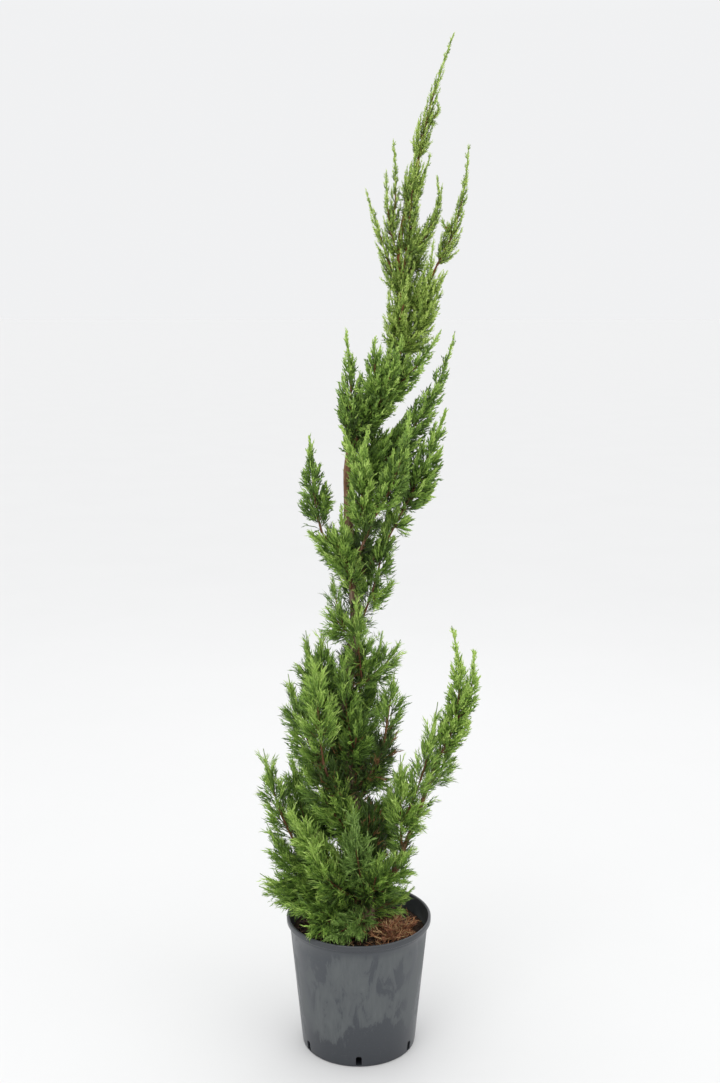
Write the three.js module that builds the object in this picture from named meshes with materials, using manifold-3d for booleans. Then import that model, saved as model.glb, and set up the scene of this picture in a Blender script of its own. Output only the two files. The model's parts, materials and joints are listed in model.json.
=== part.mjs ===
// Potted Chinese juniper: a slender, leaning column of upswept plumes in a round nursery pot.
// Millimetres, +Z up. The origin is the centre of the pot's underside, -Y is the front and +X is right.
import * as THREE from "three";
import { mergeVertices } from "three/addons/utils/BufferGeometryUtils.js";
import Module from "manifold-3d";

const wasm = await Module();
wasm.setup();

const CLEARANCE = 0.3; // kept between solids that touch on the plant
const WELD = 1e-4; // corners closer than this are one corner

// The pot: a tapering wall, a rolled rim and drain slots at the foot of the wall.
const POT = {
  height: 279,
  rimRadius: 150.4,
  rimHeight: 12,
  rimWidth: 6,
  rimFillet: 2, // height of the slope under the rim
  rimRound: 1, // how much the rim's edges are rounded off
  footRadius: 118.5,
  chamfer: 3,
  wall: 3,
  floor: 4,
  underRimRadius: 145.5,
  facets: 36,
  slots: 6,
  slotDepth: 12,
  slotWidth: 12,
  slotHeight: 20,
  slotBase: 4,
};

// Potting soil fills the pot to a little under the rim, level round the trunk and crumbled outside that.
const SOIL = {
  edge: 246,
  middle: 252,
  levelRadius: 48,
  rings: [1, 0.7, 0.35, 0], // shares of the way from the level part to the wall
  crumble: 2.2, // height of the lumps
  lumpsRound: [3, 5], // lumps in a turn, as two waves
  lumpWidth: 9,
};

// The trunk: its route is a hand-chosen line from the soil to where the leader takes over.
const TRUNK = {
  route: [
    [15, 0, SOIL.middle + CLEARANCE],
    [15, 0, 330],
    [8, 2, 440],
    [-24, 6, 600],
    [-28, 6, 740],
    [-8, 2, 870],
    [-10, 0, 980],
    [-21, -4, 1130],
    [-13, -2, 1260],
    [49, 0, 1364],
    [83, 2, 1465],
    [78, 2, 1640],
    [113, 0, 1800],
  ],
  footRadius: 15.5,
  tipRadius: 3.2,
  flare: 6.5,
  flareHeight: 28,
  sides: 8,
  steps: 32,
};

// Boughs: each leaves the trunk at a height, bends over one point and ends where its plume begins.
const BOUGH = { sides: 5, steps: 6, taper: 0.5 };
const BOUGHS = [
  { name: "bough_right_low", from: 280, bend: [84, -8, 366], end: [160, 0, 614], radius: 6.5 },
  { name: "bough_left_low", from: 335, bend: [-62, 5, 352], end: [-128, 10, 424], radius: 5.5 },
  { name: "bough_back_low", from: 370, bend: [-5, 70, 375], end: [-20, 105, 455], radius: 5.5 },
  { name: "bough_waist_left", from: 520, bend: [-58, -32, 555], end: [-72, -46, 628], radius: 5 },
  { name: "bough_waist_right", from: 545, bend: [38, -15, 585], end: [54, -22, 672], radius: 4.5 },
  { name: "bough_mid_left", from: 1000, bend: [-38, -4, 1034], end: [-73, -4, 1087], radius: 4.5 },
  { name: "bough_mid_right", from: 985, bend: [44, -8, 1044], end: [84, -12, 1128], radius: 4.5 },
  { name: "bough_mid_front", from: 1020, bend: [8, -32, 1062], end: [30, -46, 1124], radius: 4 },
  { name: "bough_top_right", from: 1482, bend: [116, 0, 1530], end: [150, 0, 1606], radius: 3.5 },
];

// A plume: foliage round one upswept axis, bare near its stem, fullest low down and pointed at its tip.
const PLUME = {
  bendOut: 0.6925, // the axis bends at this share of its way out
  bendUp: 0.3625, // and at this share of its way up
  bare: 0.08, // share of the axis that is bare stem
  fullest: 0.38, // share of the axis where it is widest
  point: 1.6, // how full the part above stays before it comes to a point
  core: 0.62, // the dense inside's share of the radius
  stemRadius: 3,
  tipRadius: 0.9,
  sides: 5,
  steps: 6,
  forkAt: 0.3, // where further spires leave the first one's axis
};

// Sprays: three-toothed blades set round the axis at the golden angle, closing in towards the tip.
const SPRAY = {
  turn: Math.PI * (3 - Math.sqrt(5)),
  fewest: 2,
  areaEach: 110000, // mm2 of plume surface for each further spray
  lowest: 0.14, // shares of the axis between which sprays stand
  highest: 0.94,
  scatter: 0.5, // how far a spray may stray towards the next one's place
  roll: Math.PI / 2, // how far a blade may turn about its length, either way
  lowAngle: 0.78,
  tipAngle: 0.3,
  shortest: 24,
  longest: 90,
  width: 0.3, // half width and half thickness as shares of the length
  thickness: 0.045,
  root: 0.35, // how deep in the core a blade starts, as a share of the core's radius
  seed: 20,
  // Shares of the length and of the half width round the blade, from its root.
  outline: [[0, 0], [0.55, 1], [0.62, 0.35], [1, 0], [0.62, -0.35], [0.55, -1]],
};

// A plain repeatable run of random numbers.
const RANDOM = { factor: 1664525, step: 1013904223, range: 2 ** 32 };

// The masses of foliage, from the leader down. "from" is a height on the trunk, or a share of the bough.
// Each spire is its tip's x, y, z, its largest radius and how far its axis leans aside on the way up.
const MASSES = [
  { name: "leader", on: "trunk", from: 1800, spires: [[178, 0, 2031, 25, -34], [149, 2, 1905, 20, 13]] },
  { name: "top_left", on: "trunk", from: 1620, spires: [[52, -12, 1779, 22, -8], [66, 12, 1836, 18, 12]] },
  { name: "top_outer_left", on: "trunk", from: 1548, spires: [[14, 0, 1745, 26, 18]] },
  {
    name: "top_right",
    on: "trunk",
    from: 1545,
    spires: [
      [135, -8, 1810, 24, -34],
      [160, 20, 1756, 28, 12],
      [112, -14, 1872, 22, -6],
      [149, 0, 1768, 22, 36],
    ],
  },
  {
    name: "top_outer_right",
    on: "bough_top_right",
    from: 1,
    spires: [[208, 0, 1826, 25, 12], [160, -8, 1690, 26, -4]],
  },
  { name: "top_back", on: "trunk", from: 1510, spires: [[114, 40, 1812, 24, 6], [132, 50, 1650, 40]] },
  { name: "shoulder_left", on: "trunk", from: 1440, spires: [[57, 10, 1556, 30], [93, -42, 1582, 26]] },
  {
    name: "shoulder_right",
    on: "trunk",
    from: 1440,
    spires: [[162, -10, 1592, 46, 4], [142, -15, 1650, 32]],
  },
  { name: "cloud_front", on: "trunk", from: 1305, spires: [[82, -60, 1475, 46], [31, -30, 1469, 44, -6]] },
  { name: "cloud_right", on: "trunk", from: 1350, spires: [[157, -25, 1482, 39, -12]] },
  {
    name: "upper_left",
    on: "trunk",
    from: 1275,
    spires: [[-34, 0, 1322, 14], [-25, 5, 1482, 38, 14], [60, -14, 1346, 30]],
  },
  { name: "upper_right", on: "trunk", from: 1170, spires: [[187, 5, 1482, 54, 22]] },
  { name: "upper_right_low", on: "bough_mid_right", from: 1, spires: [[171, -10, 1334, 52, -16]] },
  {
    name: "upper_front",
    on: "bough_mid_front",
    from: 1,
    spires: [[98, -62, 1332, 36, 6], [66, -64, 1202, 26]],
  },
  {
    name: "upper_front_left",
    on: "bough_mid_front",
    from: 0.6,
    spires: [[16, -50, 1300, 40, -16], [58, -58, 1146, 24], [-34, -32, 1302, 24, 28]],
  },
  { name: "upper_back", on: "trunk", from: 1270, spires: [[44, 70, 1453, 43], [64, 34, 1344, 37]] },
  {
    name: "upper_back_right",
    on: "trunk",
    from: 1190,
    spires: [[105, 80, 1325, 46], [70, 50, 1205, 34], [34, 40, 1308, 36], [4, 46, 1262, 24]],
  },
  {
    name: "mid_left",
    on: "bough_mid_left",
    from: 1,
    spires: [[-97, 0, 1280, 36, -2], [-50, -15, 1150, 32, 6]],
  },
  { name: "mid_front", on: "trunk", from: 950, spires: [[-35, -50, 1152, 36], [-50, -40, 1112, 34]] },
  { name: "mid_right", on: "trunk", from: 880, spires: [[64, -14, 1172, 42, 4], [36, -38, 945, 18]] },
  {
    name: "mid_back",
    on: "trunk",
    from: 930,
    spires: [[22, 72, 1233, 38], [-30, 60, 1050, 30], [4, 52, 1000, 34]],
  },
  {
    name: "fan_left",
    on: "trunk",
    from: 872,
    spires: [[-67, -22, 942, 38, 12], [-53, 0, 1000, 22], [-72, -10, 880, 26]],
  },
  { name: "waist_left", on: "trunk", from: 640, spires: [[-107, 10, 884, 46, -12], [-76, -8, 888, 40]] },
  { name: "waist_front_left", on: "bough_waist_left", from: 1, spires: [[-86, -70, 854, 50]] },
  { name: "waist_outer_left", on: "bough_waist_left", from: 0.6, spires: [[-143, 0, 796, 50]] },
  {
    name: "waist_right_top",
    on: "trunk",
    from: 740,
    spires: [[47, -8, 888, 26, 16], [84, -10, 870, 34], [-6, -36, 968, 36]],
  },
  { name: "waist_right", on: "bough_waist_right", from: 1, spires: [[72, -18, 805, 38, -6]] },
  { name: "waist_right_low", on: "trunk", from: 515, spires: [[77, 6, 712, 32, -8], [48, -24, 594, 42]] },
  { name: "waist_front", on: "trunk", from: 600, spires: [[5, -50, 745, 48], [-34, -42, 858, 38]] },
  { name: "waist_back_left", on: "trunk", from: 620, spires: [[-66, 76, 850, 46]] },
  { name: "waist_back_right", on: "trunk", from: 590, spires: [[34, 82, 793, 50], [2, 60, 900, 38]] },
  {
    name: "right_spire",
    on: "bough_right_low",
    from: 1,
    spires: [[187, 0, 896, 40, 52], [232, 12, 842, 25, 20]],
  },
  { name: "right_outer", on: "bough_right_low", from: 0.85, spires: [[196, 12, 648, 36, -4]] },
  {
    name: "right_inner",
    on: "bough_right_low",
    from: 0.42,
    spires: [[85, -15, 630, 45], [160, -10, 740, 34, 2], [136, -24, 528, 36, 6]],
  },
  { name: "low_far_left", on: "bough_left_low", from: 1, spires: [[-196, 12, 634, 42, 2]] },
  {
    name: "low_left_upper",
    on: "bough_left_low",
    from: 0.6,
    spires: [[-140, 45, 618, 50], [-112, 30, 505, 48]],
  },
  { name: "low_left_bright", on: "trunk", from: 345, spires: [[-146, -62, 552, 46, -8]] },
  { name: "low_left_centre", on: "trunk", from: 405, spires: [[-54, -45, 621, 46], [-119, -28, 671, 47]] },
  {
    name: "low_skirt_left",
    on: "trunk",
    from: 295,
    spires: [[-204, -20, 376, 57], [-190, 0, 478, 46], [-206, -28, 352, 46], [-70, 98, 345, 44]],
  },
  { name: "low_front_left", on: "trunk", from: 305, spires: [[-95, -108, 495, 46, -30]] },
  { name: "low_front", on: "trunk", from: 320, spires: [[-13, -112, 561, 40]] },
  { name: "low_front_right", on: "trunk", from: 300, spires: [[43, -80, 455, 40], [112, -42, 452, 40]] },
  {
    name: "skirt_front_left",
    on: "trunk",
    from: 282,
    spires: [[-146, -100, 345, 38], [-102, -128, 300, 37]],
  },
  { name: "skirt_front", on: "trunk", from: 280, spires: [[-20, -142, 308, 36], [-66, -134, 297, 34]] },
  { name: "skirt_right", on: "trunk", from: 278, spires: [[117, -5, 312, 33], [56, 96, 335, 42]] },
  {
    name: "low_back_left",
    on: "bough_back_low",
    from: 0.7,
    spires: [[-126, 110, 520, 52], [-130, 85, 380, 42]],
  },
  { name: "low_back", on: "bough_back_low", from: 1, spires: [[-10, 122, 640, 54], [-56, 84, 480, 50]] },
  {
    name: "low_back_right",
    on: "bough_back_low",
    from: 0.5,
    spires: [[88, 108, 520, 52], [95, 90, 370, 42], [56, 78, 500, 48]],
  },
];

const BARK = { color: 0x7a5a45, roughness: 0.95, metalness: 0 };
const FOLIAGE = { color: 0x4f8a35, roughness: 0.8, metalness: 0 };
const POT_PLASTIC = { color: 0x4b5055, roughness: 0.55, metalness: 0 };
const POTTING_SOIL = { color: 0x3a2a1e, roughness: 1, metalness: 0 };

// Solids

function solidFrom(geometry) {
  geometry.deleteAttribute("normal");
  geometry.deleteAttribute("uv");
  const merged = mergeVertices(geometry, WELD);
  const corners = merged.index.array;
  const triVerts = [];
  for (let i = 0; i < corners.length; i += 3) {
    const [a, b, c] = corners.slice(i, i + 3);
    if (a !== b && b !== c && c !== a) triVerts.push(a, b, c);
  }
  return new wasm.Manifold(
    new wasm.Mesh({
      numProp: 3,
      vertProperties: merged.attributes.position.array,
      triVerts: new Uint32Array(triVerts),
    }),
  );
}

// The largest body of a cut or fused solid, without loose scraps and with sealed hollows filled.
function mainBody(solid) {
  return solid.decompose().reduce((a, b) => (b.volume() > a.volume() ? b : a));
}

function meshOf(name, solid, finish) {
  const { vertProperties, triVerts } = solid.getMesh();
  const geometry = new THREE.BufferGeometry();
  geometry.setAttribute("position", new THREE.BufferAttribute(vertProperties, 3));
  geometry.setIndex(new THREE.BufferAttribute(triVerts, 1));
  geometry.computeVertexNormals();
  const mesh = new THREE.Mesh(geometry, new THREE.MeshStandardMaterial(finish));
  mesh.name = name;
  return mesh;
}

// A closed tapering limb: the rings of a cylinder are moved along a curve and set to its radius there.
function limb(curve, radiusAt, sides, steps, grow = 0) {
  const geometry = new THREE.CylinderGeometry(1, 1, 1, sides, steps);
  const { tangents, normals, binormals } = curve.computeFrenetFrames(steps);
  const position = geometry.attributes.position;
  for (let i = 0; i < position.count; i++) {
    const along = position.getY(i) + 0.5;
    const ring = Math.round(along * steps);
    const radius = radiusAt(along) + grow;
    const past = ring === 0 ? -grow : ring === steps ? grow : 0;
    const point = curve
      .getPointAt(along)
      .addScaledVector(binormals[ring], position.getX(i) * radius)
      .addScaledVector(normals[ring], position.getZ(i) * radius)
      .addScaledVector(tangents[ring], past);
    position.setXYZ(i, point.x, point.y, point.z);
  }
  return solidFrom(geometry);
}

function turned(profile, facets) {
  const points = profile.map(([radius, height]) => new THREE.Vector2(radius, height));
  return new THREE.LatheGeometry(points, facets).rotateX(Math.PI / 2);
}

// Pot and soil

function outerRadius(height) {
  return THREE.MathUtils.mapLinear(height, 0, POT.height, POT.footRadius, POT.underRimRadius);
}

function innerRadius(height) {
  return outerRadius(height) - POT.wall;
}

function makePot() {
  const { height, rimRadius, rimHeight, rimWidth, rimFillet, rimRound, footRadius, chamfer, floor } = POT;
  const underRim = height - rimHeight;
  const shell = solidFrom(
    turned(
      [
        [0, 0],
        [footRadius - chamfer, 0],
        [outerRadius(chamfer), chamfer],
        [outerRadius(underRim - rimFillet), underRim - rimFillet],
        [rimRadius - rimRound, underRim],
        [rimRadius, underRim + rimHeight / 2],
        [rimRadius - rimRound, height - rimRound],
        [rimRadius - rimWidth / 2, height],
        [rimRadius - rimWidth, height - rimRound],
        [innerRadius(underRim), underRim],
        [innerRadius(floor), floor],
        [0, floor],
      ],
      POT.facets,
    ),
  );
  const slots = [];
  for (let i = 0; i < POT.slots; i++) {
    const angle = (i / POT.slots) * 2 * Math.PI - Math.PI / 2;
    const slot = new THREE.BoxGeometry(POT.slotDepth, POT.slotWidth, POT.slotHeight);
    slot.translate(POT.footRadius, 0, POT.slotBase + POT.slotHeight / 2).rotateZ(angle);
    slots.push(solidFrom(slot));
  }
  return slots.reduce((pot, slot) => pot.subtract(slot), shell);
}

function makeSoil() {
  const { edge, middle, levelRadius, rings, crumble, lumpsRound, lumpWidth } = SOIL;
  const low = POT.floor + CLEARANCE;
  const edgeRadius = innerRadius(edge) - CLEARANCE;
  const lowRadius = innerRadius(low) - CLEARANCE;
  const top = rings.map((share) => [
    THREE.MathUtils.lerp(levelRadius, edgeRadius, share),
    THREE.MathUtils.lerp(middle, edge, share),
  ]);
  const geometry = turned([[0, low], [lowRadius, low], ...top, [0, middle]], POT.facets);
  const position = geometry.attributes.position;
  for (let i = 0; i < position.count; i++) {
    const [x, y, z] = [position.getX(i), position.getY(i), position.getZ(i)];
    const radius = Math.hypot(x, y);
    const bearing = Math.atan2(y, x);
    const loose = z > edge + WELD && radius > levelRadius + WELD;
    const [coarse, fine] = lumpsRound.map((lumps) => lumps * bearing);
    const lump = Math.sin(coarse + radius) * Math.cos(fine - radius / lumpWidth);
    if (loose) position.setZ(i, z + crumble * lump);
  }
  return solidFrom(geometry);
}

// Trunk and boughs

const trunkCurve = new THREE.CatmullRomCurve3(TRUNK.route.map((p) => new THREE.Vector3(...p)));
const trunkLength = trunkCurve.getLength();

function trunkRadius(along) {
  const flare = TRUNK.flare * Math.exp((-along * trunkLength) / TRUNK.flareHeight);
  return THREE.MathUtils.lerp(TRUNK.footRadius, TRUNK.tipRadius, along) + flare;
}

// The trunk rises all the way, so the point at a height is found by halving.
function trunkAt(height) {
  let [low, high] = [0, 1];
  while ((high - low) * trunkLength > WELD) {
    const middle = (low + high) / 2;
    if (trunkCurve.getPointAt(middle).z < height) low = middle;
    else high = middle;
  }
  return trunkCurve.getPointAt(high);
}

function makeTrunk(grow) {
  return limb(trunkCurve, trunkRadius, TRUNK.sides, TRUNK.steps, grow);
}

const boughCurves = new Map(
  BOUGHS.map(({ name, from, bend, end }) => [
    name,
    new THREE.QuadraticBezierCurve3(
      trunkAt(from),
      new THREE.Vector3(...bend),
      new THREE.Vector3(...end),
    ),
  ]),
);

function makeBough({ name, radius }, grow) {
  const radiusAt = (along) => radius * (1 - BOUGH.taper * along);
  return limb(boughCurves.get(name), radiusAt, BOUGH.sides, BOUGH.steps, grow);
}

// Plumes

function plumeAxis(start, tip, lean) {
  const bend = new THREE.Vector3(
    THREE.MathUtils.lerp(start.x, tip.x, PLUME.bendOut) + lean,
    THREE.MathUtils.lerp(start.y, tip.y, PLUME.bendOut),
    THREE.MathUtils.lerp(start.z, tip.z, PLUME.bendUp),
  );
  return new THREE.QuadraticBezierCurve3(start, bend, tip);
}

// A plume's radius as a share of its largest.
function swell(along) {
  const { bare, fullest, point } = PLUME;
  if (along < fullest) return THREE.MathUtils.smoothstep(along, bare, fullest);
  return 1 - ((along - fullest) / (1 - fullest)) ** point;
}

function spiresOf({ on, from, spires }) {
  const start = on === "trunk" ? trunkAt(from) : boughCurves.get(on).getPointAt(from);
  const axes = [];
  for (const [x, y, z, girth, lean = 0] of spires) {
    const foot = axes.length ? axes[0].curve.getPointAt(PLUME.forkAt) : start;
    axes.push({ curve: plumeAxis(foot, new THREE.Vector3(x, y, z), lean), girth });
  }
  return axes;
}

function stemRadius(along) {
  return THREE.MathUtils.lerp(PLUME.stemRadius, PLUME.tipRadius, along);
}

function makeStem({ curve }, grow) {
  return limb(curve, stemRadius, PLUME.sides, PLUME.steps, grow);
}

// The stem and the dense inside that swells on it.
function makeCore({ curve, girth }, grow) {
  const radiusAt = (along) => Math.max(stemRadius(along), PLUME.core * girth * swell(along));
  return limb(curve, radiusAt, PLUME.sides, PLUME.steps, grow);
}

// A three-toothed blade: a six-sided double pyramid whose rim is drawn out into teeth.
function makeSpray({ root, forward, face, length }, grow) {
  const rim = SPRAY.outline;
  const wide = SPRAY.width * length + grow;
  const thick = SPRAY.thickness * length + grow;
  const long = length + 2 * grow;
  const geometry = new THREE.SphereGeometry(1, rim.length, 2);
  const position = geometry.attributes.position;
  for (let i = 0; i < position.count; i++) {
    const [along, across] = rim[i % (rim.length + 1) % rim.length];
    const height = Math.round(position.getY(i));
    if (height === 0) position.setXYZ(i, along * long - grow, 0, across * wide);
    else position.setXYZ(i, long / 2 - grow, height * thick, 0);
  }
  const side = new THREE.Vector3().crossVectors(forward, face);
  geometry.applyMatrix4(new THREE.Matrix4().makeBasis(forward, face, side).setPosition(root));
  return solidFrom(geometry);
}

function randomFrom(seed) {
  let state = seed;
  return () => {
    state = (state * RANDOM.factor + RANDOM.step) % RANDOM.range;
    return state / RANDOM.range;
  };
}

// The sprays a spire may carry, from its foot to its tip.
function sprayPlaces({ curve, girth }, random) {
  const surface = Math.PI * girth * curve.getLength();
  const count = Math.round(SPRAY.fewest + surface / SPRAY.areaEach);
  const twist = random() * 2 * Math.PI;
  const places = [];
  for (let i = 0; i < count; i++) {
    const share = (i + SPRAY.scatter * random()) / count;
    const along = THREE.MathUtils.lerp(SPRAY.lowest, SPRAY.highest, share);
    const angle = THREE.MathUtils.lerp(SPRAY.lowAngle, SPRAY.tipAngle, along);
    const tangent = curve.getTangentAt(along);
    const outward = new THREE.Vector3(0, 1, 0).cross(tangent).normalize();
    outward.applyAxisAngle(tangent, twist + i * SPRAY.turn);
    const forward = tangent.clone().multiplyScalar(Math.cos(angle));
    forward.addScaledVector(outward, Math.sin(angle));
    const face = new THREE.Vector3().crossVectors(forward, tangent).normalize();
    face.applyAxisAngle(forward, THREE.MathUtils.lerp(-SPRAY.roll, SPRAY.roll, random()));
    const radius = girth * swell(along);
    const sunk = SPRAY.root * PLUME.core * radius;
    const root = curve.getPointAt(along).addScaledVector(outward, sunk);
    const reach = (radius - sunk) / Math.sin(angle);
    const length = THREE.MathUtils.clamp(reach, SPRAY.shortest, SPRAY.longest);
    places.push({ root, forward, face, length });
  }
  return places;
}

// Assembly

const pot = makePot();
const soil = makeSoil();
const trunk = makeTrunk(0);
const trunkSpace = makeTrunk(CLEARANCE);
const boughs = BOUGHS.map((bough) => mainBody(makeBough(bough, 0).subtract(trunkSpace)));
const boughSpaces = BOUGHS.map((bough) => makeBough(bough, CLEARANCE));

function boxesMeet(a, b) {
  const [p, q] = [a.boundingBox(), b.boundingBox()];
  return [0, 1, 2].every((k) => p.min[k] <= q.max[k] && q.min[k] <= p.max[k]);
}

function meets(a, b) {
  return boxesMeet(a, b) && !a.intersect(b).isEmpty();
}

function cutClear(solid, spaces) {
  const near = spaces.filter((space) => boxesMeet(solid, space));
  return near.reduce((left, space) => left.subtract(space), solid);
}

const fixedSpaces = [trunkSpace, ...boughSpaces, pot, soil];
const plumes = MASSES.map((row) => ({ name: row.name, spires: spiresOf(row) }));
for (const plume of plumes) {
  plume.stemSpaces = plume.spires.map((spire) => makeStem(spire, CLEARANCE));
  plume.coreSpaces = plume.spires.map((spire) => makeCore(spire, CLEARANCE));
}

// Cores give way to limbs, to other plumes' stems and, off their own stem, to the cores made before them.
plumes.forEach((plume, i) => {
  const others = plumes.filter((other) => other !== plume).flatMap((other) => other.stemSpaces);
  const earlier = plumes.slice(0, i).flatMap((other) => other.coreSpaces);
  plume.cores = plume.spires.map((spire, k) => {
    const core = makeCore(spire, 0);
    const taken = earlier.filter((space) => boxesMeet(core, space));
    const beside = taken.map((space) => space.subtract(plume.stemSpaces[k]));
    return cutClear(core, [...fixedSpaces, ...others, ...beside]);
  });
});

// A spray that would touch a limb, the pot, the soil or another plume is left out.
const random = randomFrom(SPRAY.seed);
const placed = [];
for (const plume of plumes) {
  const foreign = plumes
    .filter((other) => other !== plume)
    .flatMap((other) => [...other.stemSpaces, ...other.cores])
    .concat(fixedSpaces, placed);
  const sprays = [];
  for (const place of plume.spires.flatMap((spire) => sprayPlaces(spire, random))) {
    const space = makeSpray(place, CLEARANCE);
    if (!foreign.some((other) => meets(space, other))) sprays.push(makeSpray(place, 0));
  }
  const fused = [...plume.cores, ...sprays].reduce((whole, piece) => whole.add(piece));
  plume.solid = mainBody(fused);
  placed.push(plume.solid);
}

const juniper = new THREE.Group();
juniper.add(meshOf("pot", pot, POT_PLASTIC));
juniper.add(meshOf("soil", soil, POTTING_SOIL));
juniper.add(meshOf("trunk", trunk, BARK));
BOUGHS.forEach(({ name }, i) => juniper.add(meshOf(name, boughs[i], BARK)));
plumes.forEach(({ name, solid }) => juniper.add(meshOf(name, solid, FOLIAGE)));

export default juniper;
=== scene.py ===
import json
import math

import bmesh
import bpy
import numpy as np
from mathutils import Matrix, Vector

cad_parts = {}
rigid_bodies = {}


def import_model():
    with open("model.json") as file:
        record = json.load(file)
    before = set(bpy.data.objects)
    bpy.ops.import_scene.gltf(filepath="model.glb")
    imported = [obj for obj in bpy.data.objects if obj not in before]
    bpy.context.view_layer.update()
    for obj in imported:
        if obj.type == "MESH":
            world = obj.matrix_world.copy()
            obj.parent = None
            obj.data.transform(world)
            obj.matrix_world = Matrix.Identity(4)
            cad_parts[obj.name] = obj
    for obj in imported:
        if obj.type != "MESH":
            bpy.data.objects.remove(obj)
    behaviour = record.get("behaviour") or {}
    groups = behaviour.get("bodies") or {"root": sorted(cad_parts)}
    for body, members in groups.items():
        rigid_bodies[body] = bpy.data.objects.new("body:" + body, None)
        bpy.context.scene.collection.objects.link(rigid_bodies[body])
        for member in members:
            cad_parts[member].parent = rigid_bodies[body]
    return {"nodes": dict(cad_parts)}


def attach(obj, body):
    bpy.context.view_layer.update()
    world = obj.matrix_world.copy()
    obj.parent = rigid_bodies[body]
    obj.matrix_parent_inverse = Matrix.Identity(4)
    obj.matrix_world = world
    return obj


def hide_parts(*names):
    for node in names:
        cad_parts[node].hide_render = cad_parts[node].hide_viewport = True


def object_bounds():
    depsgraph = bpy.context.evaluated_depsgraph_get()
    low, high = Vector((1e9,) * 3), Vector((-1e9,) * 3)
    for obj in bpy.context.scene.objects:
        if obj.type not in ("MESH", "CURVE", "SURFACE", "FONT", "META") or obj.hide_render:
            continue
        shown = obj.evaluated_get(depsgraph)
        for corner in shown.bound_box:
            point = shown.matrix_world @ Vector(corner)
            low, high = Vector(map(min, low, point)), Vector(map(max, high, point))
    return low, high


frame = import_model()
cadLow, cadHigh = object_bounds()
body = "root"
print("frame:", len(frame["nodes"]), "nodes")

# Potted juniper, in metres. The pot's underside is at the origin and -Y faces the camera.

camera = {
    "lens": 44.25,
    "sensor": 36,  # the long side, in millimetres like the lens
    "place": (0.0025, -2.609, 1.524),
    "pitch": 9.913,  # degrees below level
}


def setUpCamera():
    data = bpy.data.cameras.new("camera")
    data.lens = camera["lens"]
    data.sensor_width = camera["sensor"]
    eye = bpy.data.objects.new("camera", data)
    eye.location = camera["place"]
    eye.rotation_euler = (math.radians(90 - camera["pitch"]), 0, 0)
    bpy.context.scene.collection.objects.link(eye)
    bpy.context.scene.camera = eye


# Small helpers for arrays

def unit(vectors):
    return vectors / np.maximum(np.linalg.norm(vectors, axis=-1, keepdims=True), 1e-12)


def mix(low, high, share):
    return low + (high - low) * share


def between(random, span, count=None):  # random numbers inside a span
    return mix(*span, random.random(count))


def smooth(share):
    share = np.clip(share, 0, 1)
    return share * share * (3 - 2 * share)


def swing(ahead, aside, angle):  # directions turned from ahead towards aside, row by row
    return ahead * np.cos(angle)[:, None] + aside * np.sin(angle)[:, None]


def ringFaces(rings, sides, first=0):  # quads between rings of corners
    faces = []
    for ring in range(rings - 1):
        low, high = first + ring * sides, first + (ring + 1) * sides
        for i in range(sides):
            j = (i + 1) % sides
            faces.append((low + i, low + j, high + j, high + i))
    return faces


def tubeFaces(rings, sides):  # and fans that close both ends, on two points that follow the rings
    faces = ringFaces(rings, sides)
    foot, tip, top = rings * sides, rings * sides + 1, (rings - 1) * sides
    for i in range(sides):
        j = (i + 1) % sides
        faces += [(foot, j, i), (tip, top + i, top + j)]
    return faces


# Small helpers for meshes

def shadeSoft(mesh, angle):  # smooth, apart from edges sharper than the angle
    mesh.shade_smooth()
    mesh.set_sharp_from_angle(angle=math.radians(angle))


def meshObject(name, vertices, faces=(), edges=(), smoothAngle=None):
    mesh = bpy.data.meshes.new(name)
    mesh.from_pydata(np.asarray(vertices).tolist(), edges, faces)
    if smoothAngle is not None:
        shadeSoft(mesh, smoothAngle)
    obj = bpy.data.objects.new(name, mesh)
    bpy.context.scene.collection.objects.link(obj)
    return obj


def setValues(mesh, name, values, kind="FLOAT", domain="POINT"):
    field = "vector" if kind == "FLOAT_VECTOR" else "value"
    values = np.asarray(values, int if kind == "INT" else float)
    mesh.attributes.new(name, kind, domain).data.foreach_set(field, values.ravel())


def applyModifiers(obj, drop=()):  # the evaluated shape becomes a plain mesh, without the values to drop
    graph = bpy.context.evaluated_depsgraph_get()
    made = bpy.data.meshes.new_from_object(obj.evaluated_get(graph), depsgraph=graph)
    old = obj.data
    obj.modifiers.clear()
    obj.data = made
    made.name = obj.name
    bpy.data.meshes.remove(old)
    for key in drop:
        if key in made.attributes:
            made.attributes.remove(made.attributes[key])


def triangleCount(obj):
    obj.data.calc_loop_triangles()
    return len(obj.data.loop_triangles)


# Small helpers for materials and node trees

def screenColour(red, green, blue):  # a colour as a screen shows it, 0 to 255
    linear = [c / 3294.6 if c < 10.3 else ((c / 255 + 0.055) / 1.055) ** 2.4 for c in (red, green, blue)]
    return (*linear, 1.0)


def plug(tree, node, values):  # a value that is a socket is linked, any other is set
    for key, value in values.items():
        if isinstance(value, bpy.types.NodeSocket):
            tree.links.new(value, node.inputs[key])
        else:
            node.inputs[key].default_value = value


def addNode(tree, kind, settings=None, values=None):
    node = tree.nodes.new(kind)
    for key, value in (settings or {}).items():
        setattr(node, key, value)
    plug(tree, node, values or {})
    return node


def newMaterial(name, sockets):
    material = bpy.data.materials.new(name)
    material.use_nodes = True
    shader = material.node_tree.nodes["Principled BSDF"]
    plug(material.node_tree, shader, sockets)
    return material, material.node_tree, shader


def plainMaterials(name, shades, sockets):  # one for each shade, alike in all else
    return [newMaterial(f"{name}{i}", {"Base Color": screenColour(*shade), **sockets})[0]
            for i, shade in enumerate(shades)]


def objectPlace(tree):
    return addNode(tree, "ShaderNodeTexCoord").outputs["Object"]


def heightOf(tree, place):
    return addNode(tree, "ShaderNodeSeparateXYZ", values={"Vector": place}).outputs["Z"]


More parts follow.
